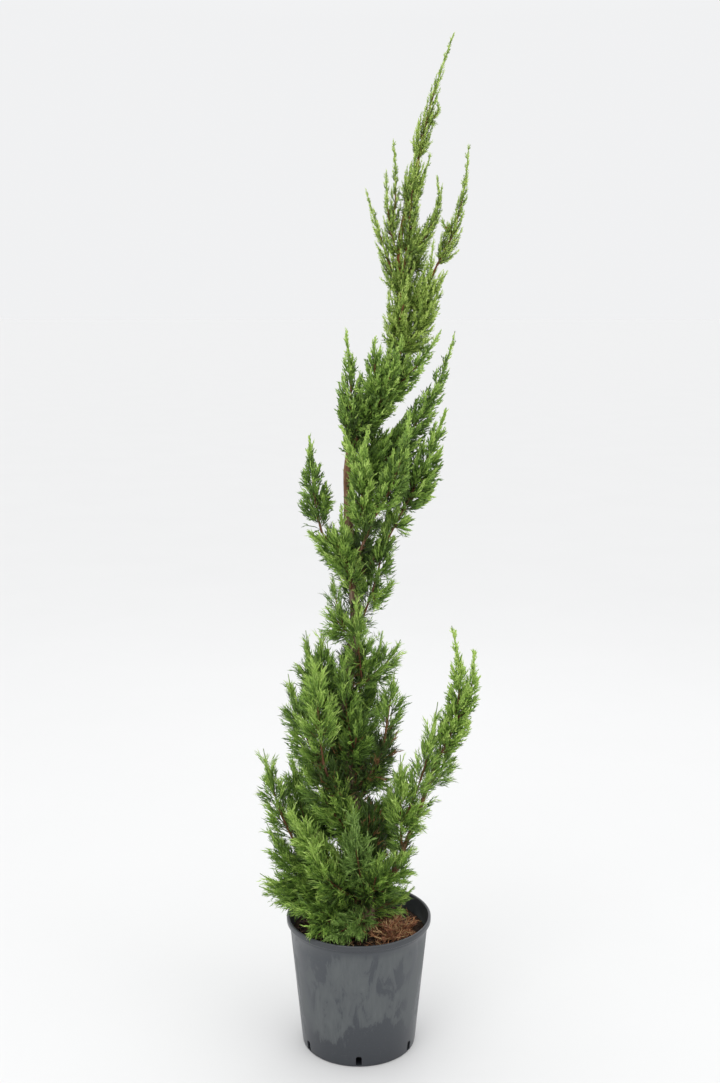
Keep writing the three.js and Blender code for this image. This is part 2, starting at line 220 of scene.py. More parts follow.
def addNoise(tree, place, scale, stretch=(1, 1, 1), detail=4, roughness=0.6, shift=(0, 0, 0), warp=0):
    values = {"Vector": place, "Scale": stretch, "Location": shift}
    mapping = addNode(tree, "ShaderNodeMapping", values=values)
    values = {"Vector": mapping.outputs["Vector"], "Scale": scale, "Detail": detail,
              "Roughness": roughness, "Distortion": warp}
    return addNode(tree, "ShaderNodeTexNoise", values=values).outputs["Fac"]


def addRamp(tree, source, stops):  # a stop is its place and a screen colour
    node = addNode(tree, "ShaderNodeValToRGB", values={"Fac": source})
    elements = node.color_ramp.elements
    for i, (place, *shade) in enumerate(stops):
        stop = elements[i] if i < 2 else elements.new(place)
        stop.position = place
        stop.color = screenColour(*shade)
    return node.outputs["Color"]


def addRange(tree, source, fromLow, fromHigh, toLow=0, toHigh=1):
    values = {"Value": source, "From Min": fromLow, "From Max": fromHigh, "To Min": toLow, "To Max": toHigh}
    return addNode(tree, "ShaderNodeMapRange", {"clamp": True}, values).outputs["Result"]


def addMath(tree, operation, first, second):
    values = {0: first, 1: second}
    return addNode(tree, "ShaderNodeMath", {"operation": operation}, values).outputs["Value"]


def addMix(tree, factor, first, second):
    values = {"Factor": factor, 6: first, 7: second}  # the two colour sockets go by number
    return addNode(tree, "ShaderNodeMix", {"data_type": "RGBA"}, values).outputs[2]


def addBump(tree, height, strength, distance):
    values = {"Height": height, "Strength": strength, "Distance": distance}
    return addNode(tree, "ShaderNodeBump", values=values).outputs["Normal"]


# Stage: a pale floor, a sky that meets it without a line, and soft lamps

stage = {
    "floorSize": 400.0,
    "floorColour": screenColour(218.5, 218.5, 218),
    "floorShade": 0.97,  # of faint clouds in the floor's colour
    "cloudScale": 1.6,
    "skyColour": (0.985, 0.99, 1.0, 1.0),
    "horizon": 0.89,
    "zenith": 1.5,
    "skyRange": (0.2, 0.95),  # how high in the sky the light goes from the first strength to the second
    "lamps": [  # name, place, aims at, side, watts
        ("keyLamp", (-1.3, -2.4, 3.3), (0, 0, 1.0), 1.8, 24),
        ("fillLamp", (2.3, -1.6, 2.4), (0, 0, 1.0), 1.8, 8),
        ("backLamp", (0.6, 2.4, 3.0), (0, 0, 1.1), 1.6, 10),
    ],
}


def setUpFloor():
    half = stage["floorSize"] / 2
    corners = [(x * half, y * half, 0) for x, y in ((-1, -1), (1, -1), (1, 1), (-1, 1))]
    floor = meshObject("floor", corners, [(0, 1, 2, 3)])
    material, tree, shader = newMaterial("floorPaper", {"Roughness": 0.85, "Specular IOR Level": 0.2})
    clouds = addNoise(tree, objectPlace(tree), stage["cloudScale"])
    shade = tuple(c * stage["floorShade"] for c in stage["floorColour"][:3]) + (1.0,)
    plug(tree, shader, {"Base Color": addMix(tree, clouds, stage["floorColour"], shade)})
    floor.data.materials.append(material)


def setUpLight():
    world = bpy.data.worlds.new("softSky")
    world.use_nodes = True
    tree = world.node_tree
    upward = heightOf(tree, addNode(tree, "ShaderNodeTexCoord").outputs["Generated"])
    glow = addRange(tree, upward, *stage["skyRange"], stage["horizon"], stage["zenith"])
    plug(tree, tree.nodes["Background"], {"Color": stage["skyColour"], "Strength": glow})
    bpy.context.scene.world = world
    for name, place, aim, side, watts in stage["lamps"]:
        data = bpy.data.lights.new(name, "AREA")
        data.shape = "SQUARE"
        data.size = side
        data.energy = watts
        lamp = bpy.data.objects.new(name, data)
        lamp.location = place
        towards = np.array(aim) - np.array(place)
        lamp.rotation_euler = (math.acos(-towards[2] / np.linalg.norm(towards)), 0,
                               math.atan2(towards[1], towards[0]) - math.pi / 2)
        bpy.context.scene.collection.objects.link(lamp)
    bpy.context.scene.view_settings.view_transform = "Standard"


setUpCamera()
setUpFloor()
setUpLight()
print("camera and stage ready")

# Pot

pot = {
    "height": 0.279,
    "rimRadius": 0.1504,
    "rimHeight": 0.012,
    "rimWidth": 0.006,
    "rimTuck": 0.002,  # where the wall meets the rim, below it
    "rimLift": 0.0022,  # of the rim's lower round
    "footRadius": 0.1185,
    "footRound": 0.0035,
    "footFlat": 0.004,  # from the foot's edge to where it is flat
    "hollowDepth": 0.0015,  # under the floor
    "hollowRadius": 0.085,
    "hollowSlope": 0.003,
    "underRimRadius": 0.1455,
    "wall": 0.003,
    "wallFrom": 0.012,
    "floor": 0.004,
    "floorRound": (0.003, 0.004),  # in the corner between floor and wall
    "innerTop": 0.004,  # the inner wall ends this much below the rim
    "stepDrop": 0.010,  # the faint step under the rim
    "stepDepth": 0.0009,
    "stepHeight": 0.0012,
    "segments": 144,
    "sharpAngle": 32,
    "slots": 6,
    "slotWidth": 0.012,
    "slotHeight": 0.020,
    "slotBase": 0.004,
    "slotReach": 0.009,  # to both sides of the foot's edge
}

potFinish = {
    "runs": {"scale": 42, "stretch": (1, 1, 0.34), "detail": 7, "roughness": 0.7, "warp": 0.6},
    "lines": {"scale": 130, "stretch": (1, 1, 0.07), "detail": 3},
    "patches": {"scale": 11, "stretch": (1, 1, 0.6), "detail": 3, "roughness": 0.5, "shift": (3, 1, 0)},
    "specks": {"scale": 420, "detail": 2, "roughness": 0.5},
    "grain": {"scale": 1500, "detail": 2, "roughness": 0.5},
    "runShare": 0.55,  # of runs in the dust, beside patches
    "footLess": (0.03, 0.1, -0.09, 0.012),  # less dust near the foot
    "thinDust": (0.475, 0.515, 0, 0.5),
    "thickDust": (0.5, 0.6),
    "linedDust": (0.35, 0.6, 0.2, 0.5),
    "dustTop": (0.262, 0.245),  # none on the rim
    "grime": (0.62, 0.72, 0, 0.35),
    "plastic": [(0.0, 54, 57, 62), (0.12, 62, 66, 71), (0.26, 66, 70, 75), (0.28, 54, 56, 60)],
    "dust": (92, 96, 97),
    "roughness": (0.32, 0.70),  # clean and dusty
    "bump": (0.12, 0.0004),
}


def potOuter(height):
    return mix(pot["footRadius"], pot["underRimRadius"], height / pot["height"])


def arc(centre, radius, start, stop, steps):  # points on a round stretch, angles in degrees
    angles = np.radians(np.linspace(start, stop, steps))
    return [(centre[0] + radius * math.cos(a), centre[1] + radius * math.sin(a)) for a in angles]


def turnedMesh(name, profile, segments):  # a profile turned about Z, its ends closed on the axis
    angles = np.linspace(0, 2 * math.pi, segments, endpoint=False)
    vertices = [(r * math.cos(a), r * math.sin(a), z) for r, z in profile[1:-1] for a in angles]
    vertices += [(0, 0, profile[0][1]), (0, 0, profile[-1][1])]
    return meshObject(name, vertices, tubeFaces(len(profile) - 2, segments))


def potProfile():  # from the middle of the underside, up the wall, over the rim and down to the inner floor
    height, wall, floor, foot = pot["height"], pot["wall"], pot["floor"], pot["footRadius"]
    hollow, hollowRadius = pot["hollowDepth"], pot["hollowRadius"]
    under = height - pot["rimHeight"]
    rimRound = pot["rimWidth"] / 2
    rimMiddle = pot["rimRadius"] - rimRound
    stepAt, tuckAt = under - pot["stepDrop"], under - pot["rimTuck"]
    cornerWidth, cornerHeight = pot["floorRound"]
    profile = [(0, hollow), (hollowRadius, hollow), (hollowRadius + pot["hollowSlope"], 0)]
    profile += [(foot - pot["footFlat"], 0)]
    profile += arc((foot - pot["footRound"], pot["footRound"]), pot["footRound"], -80, -5, 6)
    profile += [(potOuter(h), h) for h in np.linspace(pot["wallFrom"], stepAt, 12)]
    profile += [(potOuter(stepAt) + pot["stepDepth"], stepAt + pot["stepHeight"])]
    profile += [(potOuter(tuckAt) + pot["stepDepth"], tuckAt)]
    profile += arc((rimMiddle, under + pot["rimLift"]), rimRound, -75, 0, 5)
    profile += arc((rimMiddle, height - rimRound), rimRound, 0, 180, 11)
    inside = np.linspace(under - pot["innerTop"], floor + cornerHeight, 8)
    profile += [(potOuter(h) - wall, h) for h in inside]
    profile += [(potOuter(0) - wall - cornerWidth, floor), (0, floor)]
    return profile


def potMaterial():
    material, tree, shader = newMaterial("potPlastic", {"Specular IOR Level": 0.45})
    place = objectPlace(tree)
    height = heightOf(tree, place)
    noises = ("runs", "lines", "patches", "specks", "grain")
    runs, lines, patches, specks, grain = (addNoise(tree, place, **potFinish[key]) for key in noises)
    field = addMath(tree, "MULTIPLY", runs, potFinish["runShare"])
    field = addMath(tree, "ADD", field, addMath(tree, "MULTIPLY", patches, 1 - potFinish["runShare"]))
    field = addMath(tree, "ADD", field, addRange(tree, height, *potFinish["footLess"]))
    thin = addRange(tree, field, *potFinish["thinDust"])
    thick = addRange(tree, field, *potFinish["thickDust"])
    thick = addMath(tree, "MULTIPLY", thick, addRange(tree, lines, *potFinish["linedDust"]))
    dust = addMath(tree, "ADD", thin, thick)
    dust = addMath(tree, "MULTIPLY", dust, addRange(tree, height, *potFinish["dustTop"]))
    cover = addMath(tree, "MAXIMUM", dust, addRange(tree, specks, *potFinish["grime"]))
    plastic = addRamp(tree, height, potFinish["plastic"])
    plug(tree, shader, {
        "Base Color": addMix(tree, cover, plastic, screenColour(*potFinish["dust"])),
        "Roughness": addRange(tree, cover, 0, 1, *potFinish["roughness"]),
        "Normal": addBump(tree, addMath(tree, "ADD", grain, cover), *potFinish["bump"]),
    })
    return material


def slotCutter(name, turn):  # a bar with an arched top, through the foot's edge
    half, low = pot["slotWidth"] / 2, pot["slotBase"]
    high = low + pot["slotHeight"]
    flat, spring = half * 0.6, high - half * 0.5
    outline = [(-half, low), (half, low), (half, spring), (flat, high), (-flat, high), (-half, spring)]
    reaches = (pot["footRadius"] - pot["slotReach"], pot["footRadius"] + pot["slotReach"])
    vertices = [(r * math.cos(turn) - y * math.sin(turn), r * math.sin(turn) + y * math.cos(turn), z)
                for r in reaches for y, z in outline]
    count = len(outline)
    faces = [tuple(reversed(range(count))), tuple(range(count, 2 * count))]
    return meshObject(name, vertices, faces + ringFaces(2, count))


def makePot():
    shell = turnedMesh("nursery_pot", potProfile(), pot["segments"])
    cutters = []
    for i in range(pot["slots"]):
        cutters.append(slotCutter(f"slot_cutter_{i}", 2 * math.pi * i / pot["slots"] - math.pi / 2))
        cut = shell.modifiers.new("slot", "BOOLEAN")
        cut.operation = "DIFFERENCE"
        cut.solver = "EXACT"
        cut.object = cutters[-1]
    applyModifiers(shell)
    for cutter in cutters:
        bpy.data.objects.remove(cutter)
    shadeSoft(shell.data, pot["sharpAngle"])
    shell.data.materials.clear()
    shell.data.materials.append(potMaterial())
    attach(shell, body)
    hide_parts("pot")


makePot()
print("pot ready")

# Trunk and boughs, with the bark's relief

limbs = {
    "route": [(0.015, 0, 0.2523), (0.015, 0, 0.330), (0.008, 0.002, 0.440), (-0.024, 0.006, 0.600),
              (-0.028, 0.006, 0.740), (-0.008, 0.002, 0.870), (-0.010, 0, 0.980), (-0.021, -0.004, 1.130),
              (-0.013, -0.002, 1.260), (0.049, 0, 1.364), (0.083, 0.002, 1.465), (0.078, 0.002, 1.640),
              (0.113, 0, 1.800)],
    "footRadius": 0.0155,
    "tipRadius": 0.0032,
    "flare": 0.0065,
    "flareHeight": 0.028,
    "buttress": 0.12,  # how far the foot's lobes stand out
    "lobes": 5,
    "lobeTurn": 0.2,
    "boughs": [  # name, height on the trunk, bend, end, radius
        ("bough_right_low", 0.28, (0.084, -0.008, 0.366), (0.16, 0, 0.614), 0.0065),
        ("bough_left_low", 0.335, (-0.062, 0.005, 0.352), (-0.128, 0.01, 0.424), 0.0055),
        ("bough_back_low", 0.37, (-0.005, 0.07, 0.375), (-0.02, 0.105, 0.455), 0.0055),
        ("bough_waist_left", 0.52, (-0.058, -0.032, 0.555), (-0.072, -0.046, 0.628), 0.005),
        ("bough_waist_right", 0.545, (0.038, -0.015, 0.585), (0.054, -0.022, 0.672), 0.0045),
        ("bough_mid_left", 1.0, (-0.038, -0.004, 1.034), (-0.073, -0.004, 1.087), 0.0045),
        ("bough_mid_right", 0.985, (0.044, -0.008, 1.044), (0.084, -0.012, 1.128), 0.0045),
        ("bough_mid_front", 1.02, (0.008, -0.032, 1.062), (0.03, -0.046, 1.124), 0.004),
        ("bough_top_right", 1.482, (0.116, 0, 1.53), (0.15, 0, 1.606), 0.0035),
    ],
    "boughTaper": 0.5,
    "boughPoints": 60,
    "trunkSides": 40,
    "boughSides": 24,
    "ringStep": 0.0035,  # along a limb
    "stripWidth": 0.006,  # of the peeling bark
    "stripLength": 0.045,
    "stripDepth": 0.0016,
    "windTurns": 0.35,  # strips wind this far round a limb over the next length
    "windLength": 0.3,
    "ridge": 0.75,  # shares of the depth
    "flake": 0.5,
    "sunk": 0.5,
    "lumpLength": 0.06,
    "lumpRange": (0.93, 1.09),
    "youngRadius": 0.0045,  # bark is red on limbs as thin as this, grey on thick ones
    "oldRadius": 0.011,
    "boughAge": 0.5,  # the least age of the bark on boughs below a height
    "agedBelow": 1.2,
    "sharpAngle": 60,
    "seed": 5,
}

barkFinish = {
    "strips": {"scale": 1, "stretch": (160, 26, 1), "detail": 5, "roughness": 0.65},
    "fibres": {"scale": 1, "stretch": (620, 60, 1), "detail": 3},
    "old": [(0.28, 72, 54, 43), (0.48, 128, 105, 87), (0.6, 160, 140, 121), (0.75, 104, 79, 61)],
    "young": [(0.3, 98, 57, 32), (0.52, 142, 90, 54), (0.72, 114, 66, 38)],
    "crack": (58, 40, 31),
    "cracked": (0.55, 0.3, 0, 0.6),
    "bump": (0.55, 0.0012),
}


def curvePoint(start, bend, end, t):
    return start * (1 - t) ** 2 + 2 * bend * t * (1 - t) + end * t**2


def routeLine(points, perSpan=60):  # a smooth line through the points, spaced by the root of their distance
    points = np.array(points, float)
    ends = np.vstack([2 * points[0] - points[1], points, 2 * points[-1] - points[-2]])
    spans = np.linalg.norm(np.diff(ends, axis=0), axis=1) ** 0.5
    t = np.linspace(0, 1, perSpan, endpoint=False)[:, None]
    line = []
    for i in range(1, len(ends) - 2):
        before, here, there, after = ends[i - 1: i + 3]
        a, b, c = spans[i - 1: i + 2]
        leave = ((here - before) / a - (there - before) / (a + b) + (there - here) / b) * b
        arrive = ((there - here) / b - (after - here) / (b + c) + (after - there) / c) * b
        line.append(here + leave * t + (3 * (there - here) - 2 * leave - arrive) * t**2
                    + (2 * (here - there) + leave + arrive) * t**3)
    return np.vstack([*line, points[-1:]])


def evenLine(line, count):  # the same line with points at equal steps along it
    steps = np.linalg.norm(np.diff(line, axis=0), axis=1)
    reach = np.concatenate([[0], np.cumsum(steps)])
    places = np.linspace(0, reach[-1], count)
    return np.column_stack([np.interp(places, reach, line[:, k]) for k in range(3)])


def bendLine(start, bend, end, count):
    t = np.linspace(0, 1, 4 * count)[:, None]
    return evenLine(curvePoint(*(np.array(p, float) for p in (start, bend, end)), t), count)


def lineLength(line):
    return float(np.linalg.norm(np.diff(line, axis=0), axis=1).sum())


def latticeNoise(random, around, along, cellsAround, cellsAlong):  # around wraps, both run from 0 to 1
    grid = random.random((cellsAlong + 2, cellsAround))
    x, y = around * cellsAround, along * cellsAlong
    column, row = np.floor(x).astype(int), np.floor(y).astype(int)
    fx, fy = smooth(x - column), smooth(y - row)
    left, right = column % cellsAround, (column + 1) % cellsAround
    low = mix(grid[row, left], grid[row, right], fx)
    high = mix(grid[row + 1, left], grid[row + 1, right], fx)
    return mix(low, high, fy)


def turningSides(line):  # two directions across the line, which don't spin along it
    tangents = unit(np.gradient(line, axis=0))
    sides = np.zeros_like(line)
    side = np.array([1.0, 0.0, 0.0])
    for i, tangent in enumerate(tangents):
        side = unit(side - tangent * (side @ tangent))
        sides[i] = side
    return sides, np.cross(tangents, sides)


def barkMaterial():
    material, tree, shader = newMaterial("juniperBark", {"Roughness": 0.9, "Specular IOR Level": 0.2})
    skin = addNode(tree, "ShaderNodeUVMap", {"uv_map": "bark"}).outputs["UV"]
    age = addNode(tree, "ShaderNodeAttribute", {"attribute_name": "age"}).outputs["Fac"]
    strips = addNoise(tree, skin, **barkFinish["strips"])
    fibres = addNoise(tree, skin, **barkFinish["fibres"])
    young, old = (addRamp(tree, strips, barkFinish[key]) for key in ("young", "old"))
    tone = addMix(tree, age, young, old)
    cracks = addRange(tree, fibres, *barkFinish["cracked"])
    plug(tree, shader, {
        "Base Color": addMix(tree, cracks, tone, screenColour(*barkFinish["crack"])),
        "Normal": addBump(tree, addMath(tree, "ADD", strips, fibres), *barkFinish["bump"]),
    })
    return material


def barkRadius(radii, length, around, along, buttress, random):  # strips, flakes and lumps on the taper
    girth = 2 * math.pi * float(radii.mean())
    strips = max(6, round(girth / limbs["stripWidth"]))
    runs = max(4, round(length / limbs["stripLength"]))
    wound = (around + limbs["windTurns"] * along * length / limbs["windLength"]) % 1.0
    ridge = 1 - np.abs(2 * latticeNoise(random, wound, along, strips, runs) - 1)
    flakes = latticeNoise(random, wound, along, strips * 2, runs * 3)
    lumps = latticeNoise(random, around, along, 5, max(3, round(length / limbs["lumpLength"])))
    depth = limbs["stripDepth"] * np.sqrt(radii / limbs["footRadius"])[:, None]
    relief = limbs["ridge"] * ridge**2 + limbs["flake"] * flakes - limbs["sunk"]
    radius = radii[:, None] * mix(*limbs["lumpRange"], lumps) + depth * relief
    foot = np.exp(-along * length / limbs["flareHeight"])
    lobes = np.cos(2 * math.pi * (limbs["lobes"] * around + limbs["lobeTurn"]))
    return radius * (1 + buttress * foot * lobes)


def barkLimb(name, line, radii, sides, random, buttress=0.0, leastAge=0.0):
    across, up = turningSides(line)
    length, rings = lineLength(line), len(line)
    around = np.tile(np.arange(sides) / sides, (rings, 1))
    along = np.tile(np.linspace(0, 1, rings)[:, None], (1, sides))
    radius = barkRadius(radii, length, around, along, buttress, random)
    angle = 2 * math.pi * around
    place = (line[:, None] + across[:, None] * (radius * np.cos(angle))[..., None]
             + up[:, None] * (radius * np.sin(angle))[..., None])
    vertices = np.vstack([place.reshape(-1, 3), line[:1], line[-1:]])
    limb = meshObject(name, vertices, tubeFaces(rings, sides), smoothAngle=limbs["sharpAngle"])

    corners = []
    for ring in range(rings - 1):
        for i in range(sides):
            corners += [(i, ring), (i + 1, ring), (i + 1, ring + 1), (i, ring + 1)]
    for i in range(sides):
        corners += [(i, 0), (i + 1, 0), (i, 0), (i, rings - 1), (i, rings - 1), (i + 1, rings - 1)]
    girth = 2 * math.pi * float(radii.mean())
    uv = np.array(corners, float) / (sides, rings - 1) * (girth, length)  # in metres, to keep its scale
    limb.data.uv_layers.new(name="bark").data.foreach_set("uv", uv.ravel())
    thick = np.append(np.repeat(radii, sides), [radii[0], radii[-1]]) - limbs["youngRadius"]
    age = smooth(thick / (limbs["oldRadius"] - limbs["youngRadius"]))
    setValues(limb.data, "age", np.maximum(age, leastAge))
    return limb


trunkLine = routeLine(limbs["route"])


def trunkAt(height):
    return np.array([np.interp(height, trunkLine[:, 2], trunkLine[:, k]) for k in range(3)])


def trunkRadius(share, length):
    flare = limbs["flare"] * np.exp(-share * length / limbs["flareHeight"])
    return mix(limbs["footRadius"], limbs["tipRadius"], share) + flare


boughLines = {name: bendLine(trunkAt(height), bend, end, limbs["boughPoints"])
              for name, height, bend, end, radius in limbs["boughs"]}


def makeLimbs():
    random = np.random.default_rng(limbs["seed"])
    material = barkMaterial()
    length = lineLength(trunkLine)
    line = evenLine(trunkLine, round(length / limbs["ringStep"]))
    radii = trunkRadius(np.linspace(0, 1, len(line)), length)
    pieces = {"trunk": barkLimb("bark_trunk", line, radii, limbs["trunkSides"], random, limbs["buttress"])}
    for name, height, bend, end, radius in limbs["boughs"]:
        line = evenLine(boughLines[name], round(lineLength(boughLines[name]) / limbs["ringStep"]))
        radii = radius * (1 - limbs["boughTaper"] * np.linspace(0, 1, len(line)))
        leastAge = limbs["boughAge"] if height < limbs["agedBelow"] else 0
        pieces[name] = barkLimb("bark_" + name, line, radii, limbs["boughSides"], random, 0, leastAge)
    for node, piece in pieces.items():
        piece.data.materials.append(material)
        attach(piece, body)
        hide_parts(node)


makeLimbs()
print("trunk and boughs ready")

# Plumes of foliage. Each mass is one or more spires on a stem; a spire is its tip, its largest radius
# and how far its axis leans aside. A mass starts at a height on the trunk or at a share of a bough.

masses = {
    "top": [
        ("leader", "trunk", 1.8, [(0.178, 0, 2.031, 0.025, -0.034), (0.149, 0.002, 1.905, 0.02, 0.013)]),
        ("top_left", "trunk", 1.62, [(0.052, -0.012, 1.779, 0.022, -0.008),
            (0.066, 0.012, 1.836, 0.018, 0.012)]),
        ("top_outer_left", "trunk", 1.548, [(0.014, 0, 1.745, 0.026, 0.018)]),
        ("top_right", "trunk", 1.545, [(0.135, -0.008, 1.81, 0.024, -0.034),
            (0.16, 0.02, 1.756, 0.028, 0.012), (0.112, -0.014, 1.872, 0.022, -0.006),
            (0.149, 0, 1.768, 0.022, 0.036)]),
        ("top_outer_right", "bough_top_right", 1, [(0.208, 0, 1.826, 0.025, 0.012),
            (0.16, -0.008, 1.69, 0.026, -0.004)]),
        ("top_back", "trunk", 1.51, [(0.114, 0.04, 1.812, 0.024, 0.006), (0.132, 0.05, 1.65, 0.04, 0)]),
        ("shoulder_left", "trunk", 1.44, [(0.057, 0.01, 1.556, 0.03, 0), (0.093, -0.042, 1.582, 0.026, 0)]),
        ("shoulder_right", "trunk", 1.44, [(0.162, -0.01, 1.592, 0.046, 0.004),
            (0.142, -0.015, 1.65, 0.032, 0)]),
    ],
    "upper": [
        ("cloud_front", "trunk", 1.305, [(0.082, -0.06, 1.475, 0.046, 0),
            (0.031, -0.03, 1.469, 0.044, -0.006)]),
        ("cloud_right", "trunk", 1.35, [(0.157, -0.025, 1.482, 0.039, -0.012)]),
        ("upper_left", "trunk", 1.275, [(-0.034, 0, 1.322, 0.014, 0), (-0.025, 0.005, 1.482, 0.038, 0.014),
            (0.06, -0.014, 1.346, 0.03, 0)]),
        ("upper_front", "bough_mid_front", 1, [(0.098, -0.062, 1.332, 0.036, 0.006),
            (0.066, -0.064, 1.202, 0.026, 0)]),
        ("upper_front_left", "bough_mid_front", 0.6, [(0.016, -0.05, 1.3, 0.04, -0.016),
            (0.058, -0.058, 1.146, 0.024, 0), (-0.034, -0.032, 1.302, 0.024, 0.028)]),
    ],
    "upper_right": [
        ("upper_right", "trunk", 1.17, [(0.187, 0.005, 1.482, 0.054, 0.022)]),
        ("upper_right_low", "bough_mid_right", 1, [(0.171, -0.01, 1.334, 0.052, -0.016)]),
        ("upper_back", "trunk", 1.27, [(0.044, 0.07, 1.453, 0.043, 0), (0.064, 0.034, 1.344, 0.037, 0)]),
        ("upper_back_right", "trunk", 1.19, [(0.105, 0.08, 1.325, 0.046, 0), (0.07, 0.05, 1.205, 0.034, 0),
            (0.034, 0.04, 1.308, 0.036, 0), (0.004, 0.046, 1.262, 0.024, 0)]),
    ],
    "middle": [
        ("mid_left", "bough_mid_left", 1, [(-0.097, 0, 1.28, 0.036, -0.002),
            (-0.05, -0.015, 1.15, 0.032, 0.006)]),
        ("mid_front", "trunk", 0.95, [(-0.035, -0.05, 1.152, 0.036, 0), (-0.05, -0.04, 1.112, 0.034, 0)]),
        ("mid_right", "trunk", 0.88, [(0.064, -0.014, 1.172, 0.042, 0.004),
            (0.036, -0.038, 0.945, 0.018, 0)]),
        ("mid_back", "trunk", 0.93, [(0.022, 0.072, 1.233, 0.038, 0), (-0.03, 0.06, 1.05, 0.03, 0),
            (0.004, 0.052, 1.0, 0.034, 0)]),
        ("fan_left", "trunk", 0.872, [(-0.067, -0.022, 0.942, 0.038, 0.012), (-0.053, 0, 1.0, 0.022, 0),
            (-0.072, -0.01, 0.88, 0.026, 0)]),
    ],
    "waist": [
        ("waist_left", "trunk", 0.64, [(-0.107, 0.01, 0.884, 0.046, -0.012),
            (-0.076, -0.008, 0.888, 0.04, 0)]),
        ("waist_front_left", "bough_waist_left", 1, [(-0.086, -0.07, 0.854, 0.05, 0)]),
        ("waist_outer_left", "bough_waist_left", 0.6, [(-0.143, 0, 0.796, 0.05, 0)]),
        ("waist_right_top", "trunk", 0.74, [(0.047, -0.008, 0.888, 0.026, 0.016),
            (0.084, -0.01, 0.87, 0.034, 0), (-0.006, -0.036, 0.968, 0.036, 0)]),
        ("waist_right", "bough_waist_right", 1, [(0.072, -0.018, 0.805, 0.038, -0.006)]),
        ("waist_right_low", "trunk", 0.515, [(0.077, 0.006, 0.712, 0.032, -0.008),
            (0.048, -0.024, 0.594, 0.042, 0)]),
        ("waist_front", "trunk", 0.6, [(0.005, -0.05, 0.745, 0.048, 0), (-0.034, -0.042, 0.858, 0.038, 0)]),
        ("waist_back_left", "trunk", 0.62, [(-0.066, 0.076, 0.85, 0.046, 0)]),
        ("waist_back_right", "trunk", 0.59, [(0.034, 0.082, 0.793, 0.05, 0), (0.002, 0.06, 0.9, 0.038, 0)]),
    ],
    "right": [
        ("right_spire", "bough_right_low", 1, [(0.187, 0, 0.896, 0.04, 0.052),
            (0.232, 0.012, 0.842, 0.025, 0.02)]),
        ("right_outer", "bough_right_low", 0.85, [(0.196, 0.012, 0.648, 0.036, -0.004)]),
        ("right_inner", "bough_right_low", 0.42, [(0.085, -0.015, 0.63, 0.045, 0),
            (0.16, -0.01, 0.74, 0.034, 0.002), (0.136, -0.024, 0.528, 0.036, 0.006)]),
    ],
    "low_left": [
        ("low_far_left", "bough_left_low", 1, [(-0.196, 0.012, 0.634, 0.042, 0.002)]),
        ("low_left_upper", "bough_left_low", 0.6, [(-0.14, 0.045, 0.618, 0.05, 0),
            (-0.112, 0.03, 0.505, 0.048, 0)]),
        ("low_left_bright", "trunk", 0.345, [(-0.146, -0.062, 0.552, 0.046, -0.008)]),
        ("low_left_centre", "trunk", 0.405, [(-0.054, -0.045, 0.621, 0.046, 0),
            (-0.119, -0.028, 0.671, 0.047, 0)]),
        ("low_skirt_left", "trunk", 0.295, [(-0.204, -0.02, 0.376, 0.057, 0), (-0.19, 0, 0.478, 0.046, 0),
            (-0.206, -0.028, 0.352, 0.046, 0), (-0.07, 0.098, 0.345, 0.044, 0)]),
    ],
    "low_front": [
        ("low_front_left", "trunk", 0.305, [(-0.095, -0.108, 0.495, 0.046, -0.03)]),
        ("low_front", "trunk", 0.32, [(-0.013, -0.112, 0.561, 0.04, 0)]),
        ("low_front_right", "trunk", 0.3, [(0.043, -0.08, 0.455, 0.04, 0),
            (0.112, -0.042, 0.452, 0.04, 0)]),
        ("skirt_front_left", "trunk", 0.282, [(-0.146, -0.1, 0.345, 0.038, 0),
            (-0.106, -0.13, 0.29, 0.04, 0)]),
        ("skirt_front", "trunk", 0.28, [(-0.02, -0.142, 0.3, 0.036, 0), (-0.068, -0.138, 0.288, 0.036, 0)]),
        ("skirt_right", "trunk", 0.278, [(0.117, 0.01, 0.334, 0.031, 0),
            (0.056, 0.096, 0.335, 0.042, 0)]),
    ],
    "low_back": [
        ("low_back_left", "bough_back_low", 0.7, [(-0.126, 0.11, 0.52, 0.052, 0),
            (-0.13, 0.085, 0.38, 0.042, 0)]),
        ("low_back", "bough_back_low", 1, [(-0.01, 0.122, 0.64, 0.054, 0), (-0.056, 0.084, 0.48, 0.05, 0)]),
        ("low_back_right", "bough_back_low", 0.5, [(0.088, 0.108, 0.52, 0.052, 0),
            (0.095, 0.09, 0.37, 0.042, 0), (0.056, 0.078, 0.5, 0.048, 0)]),
    ],
}

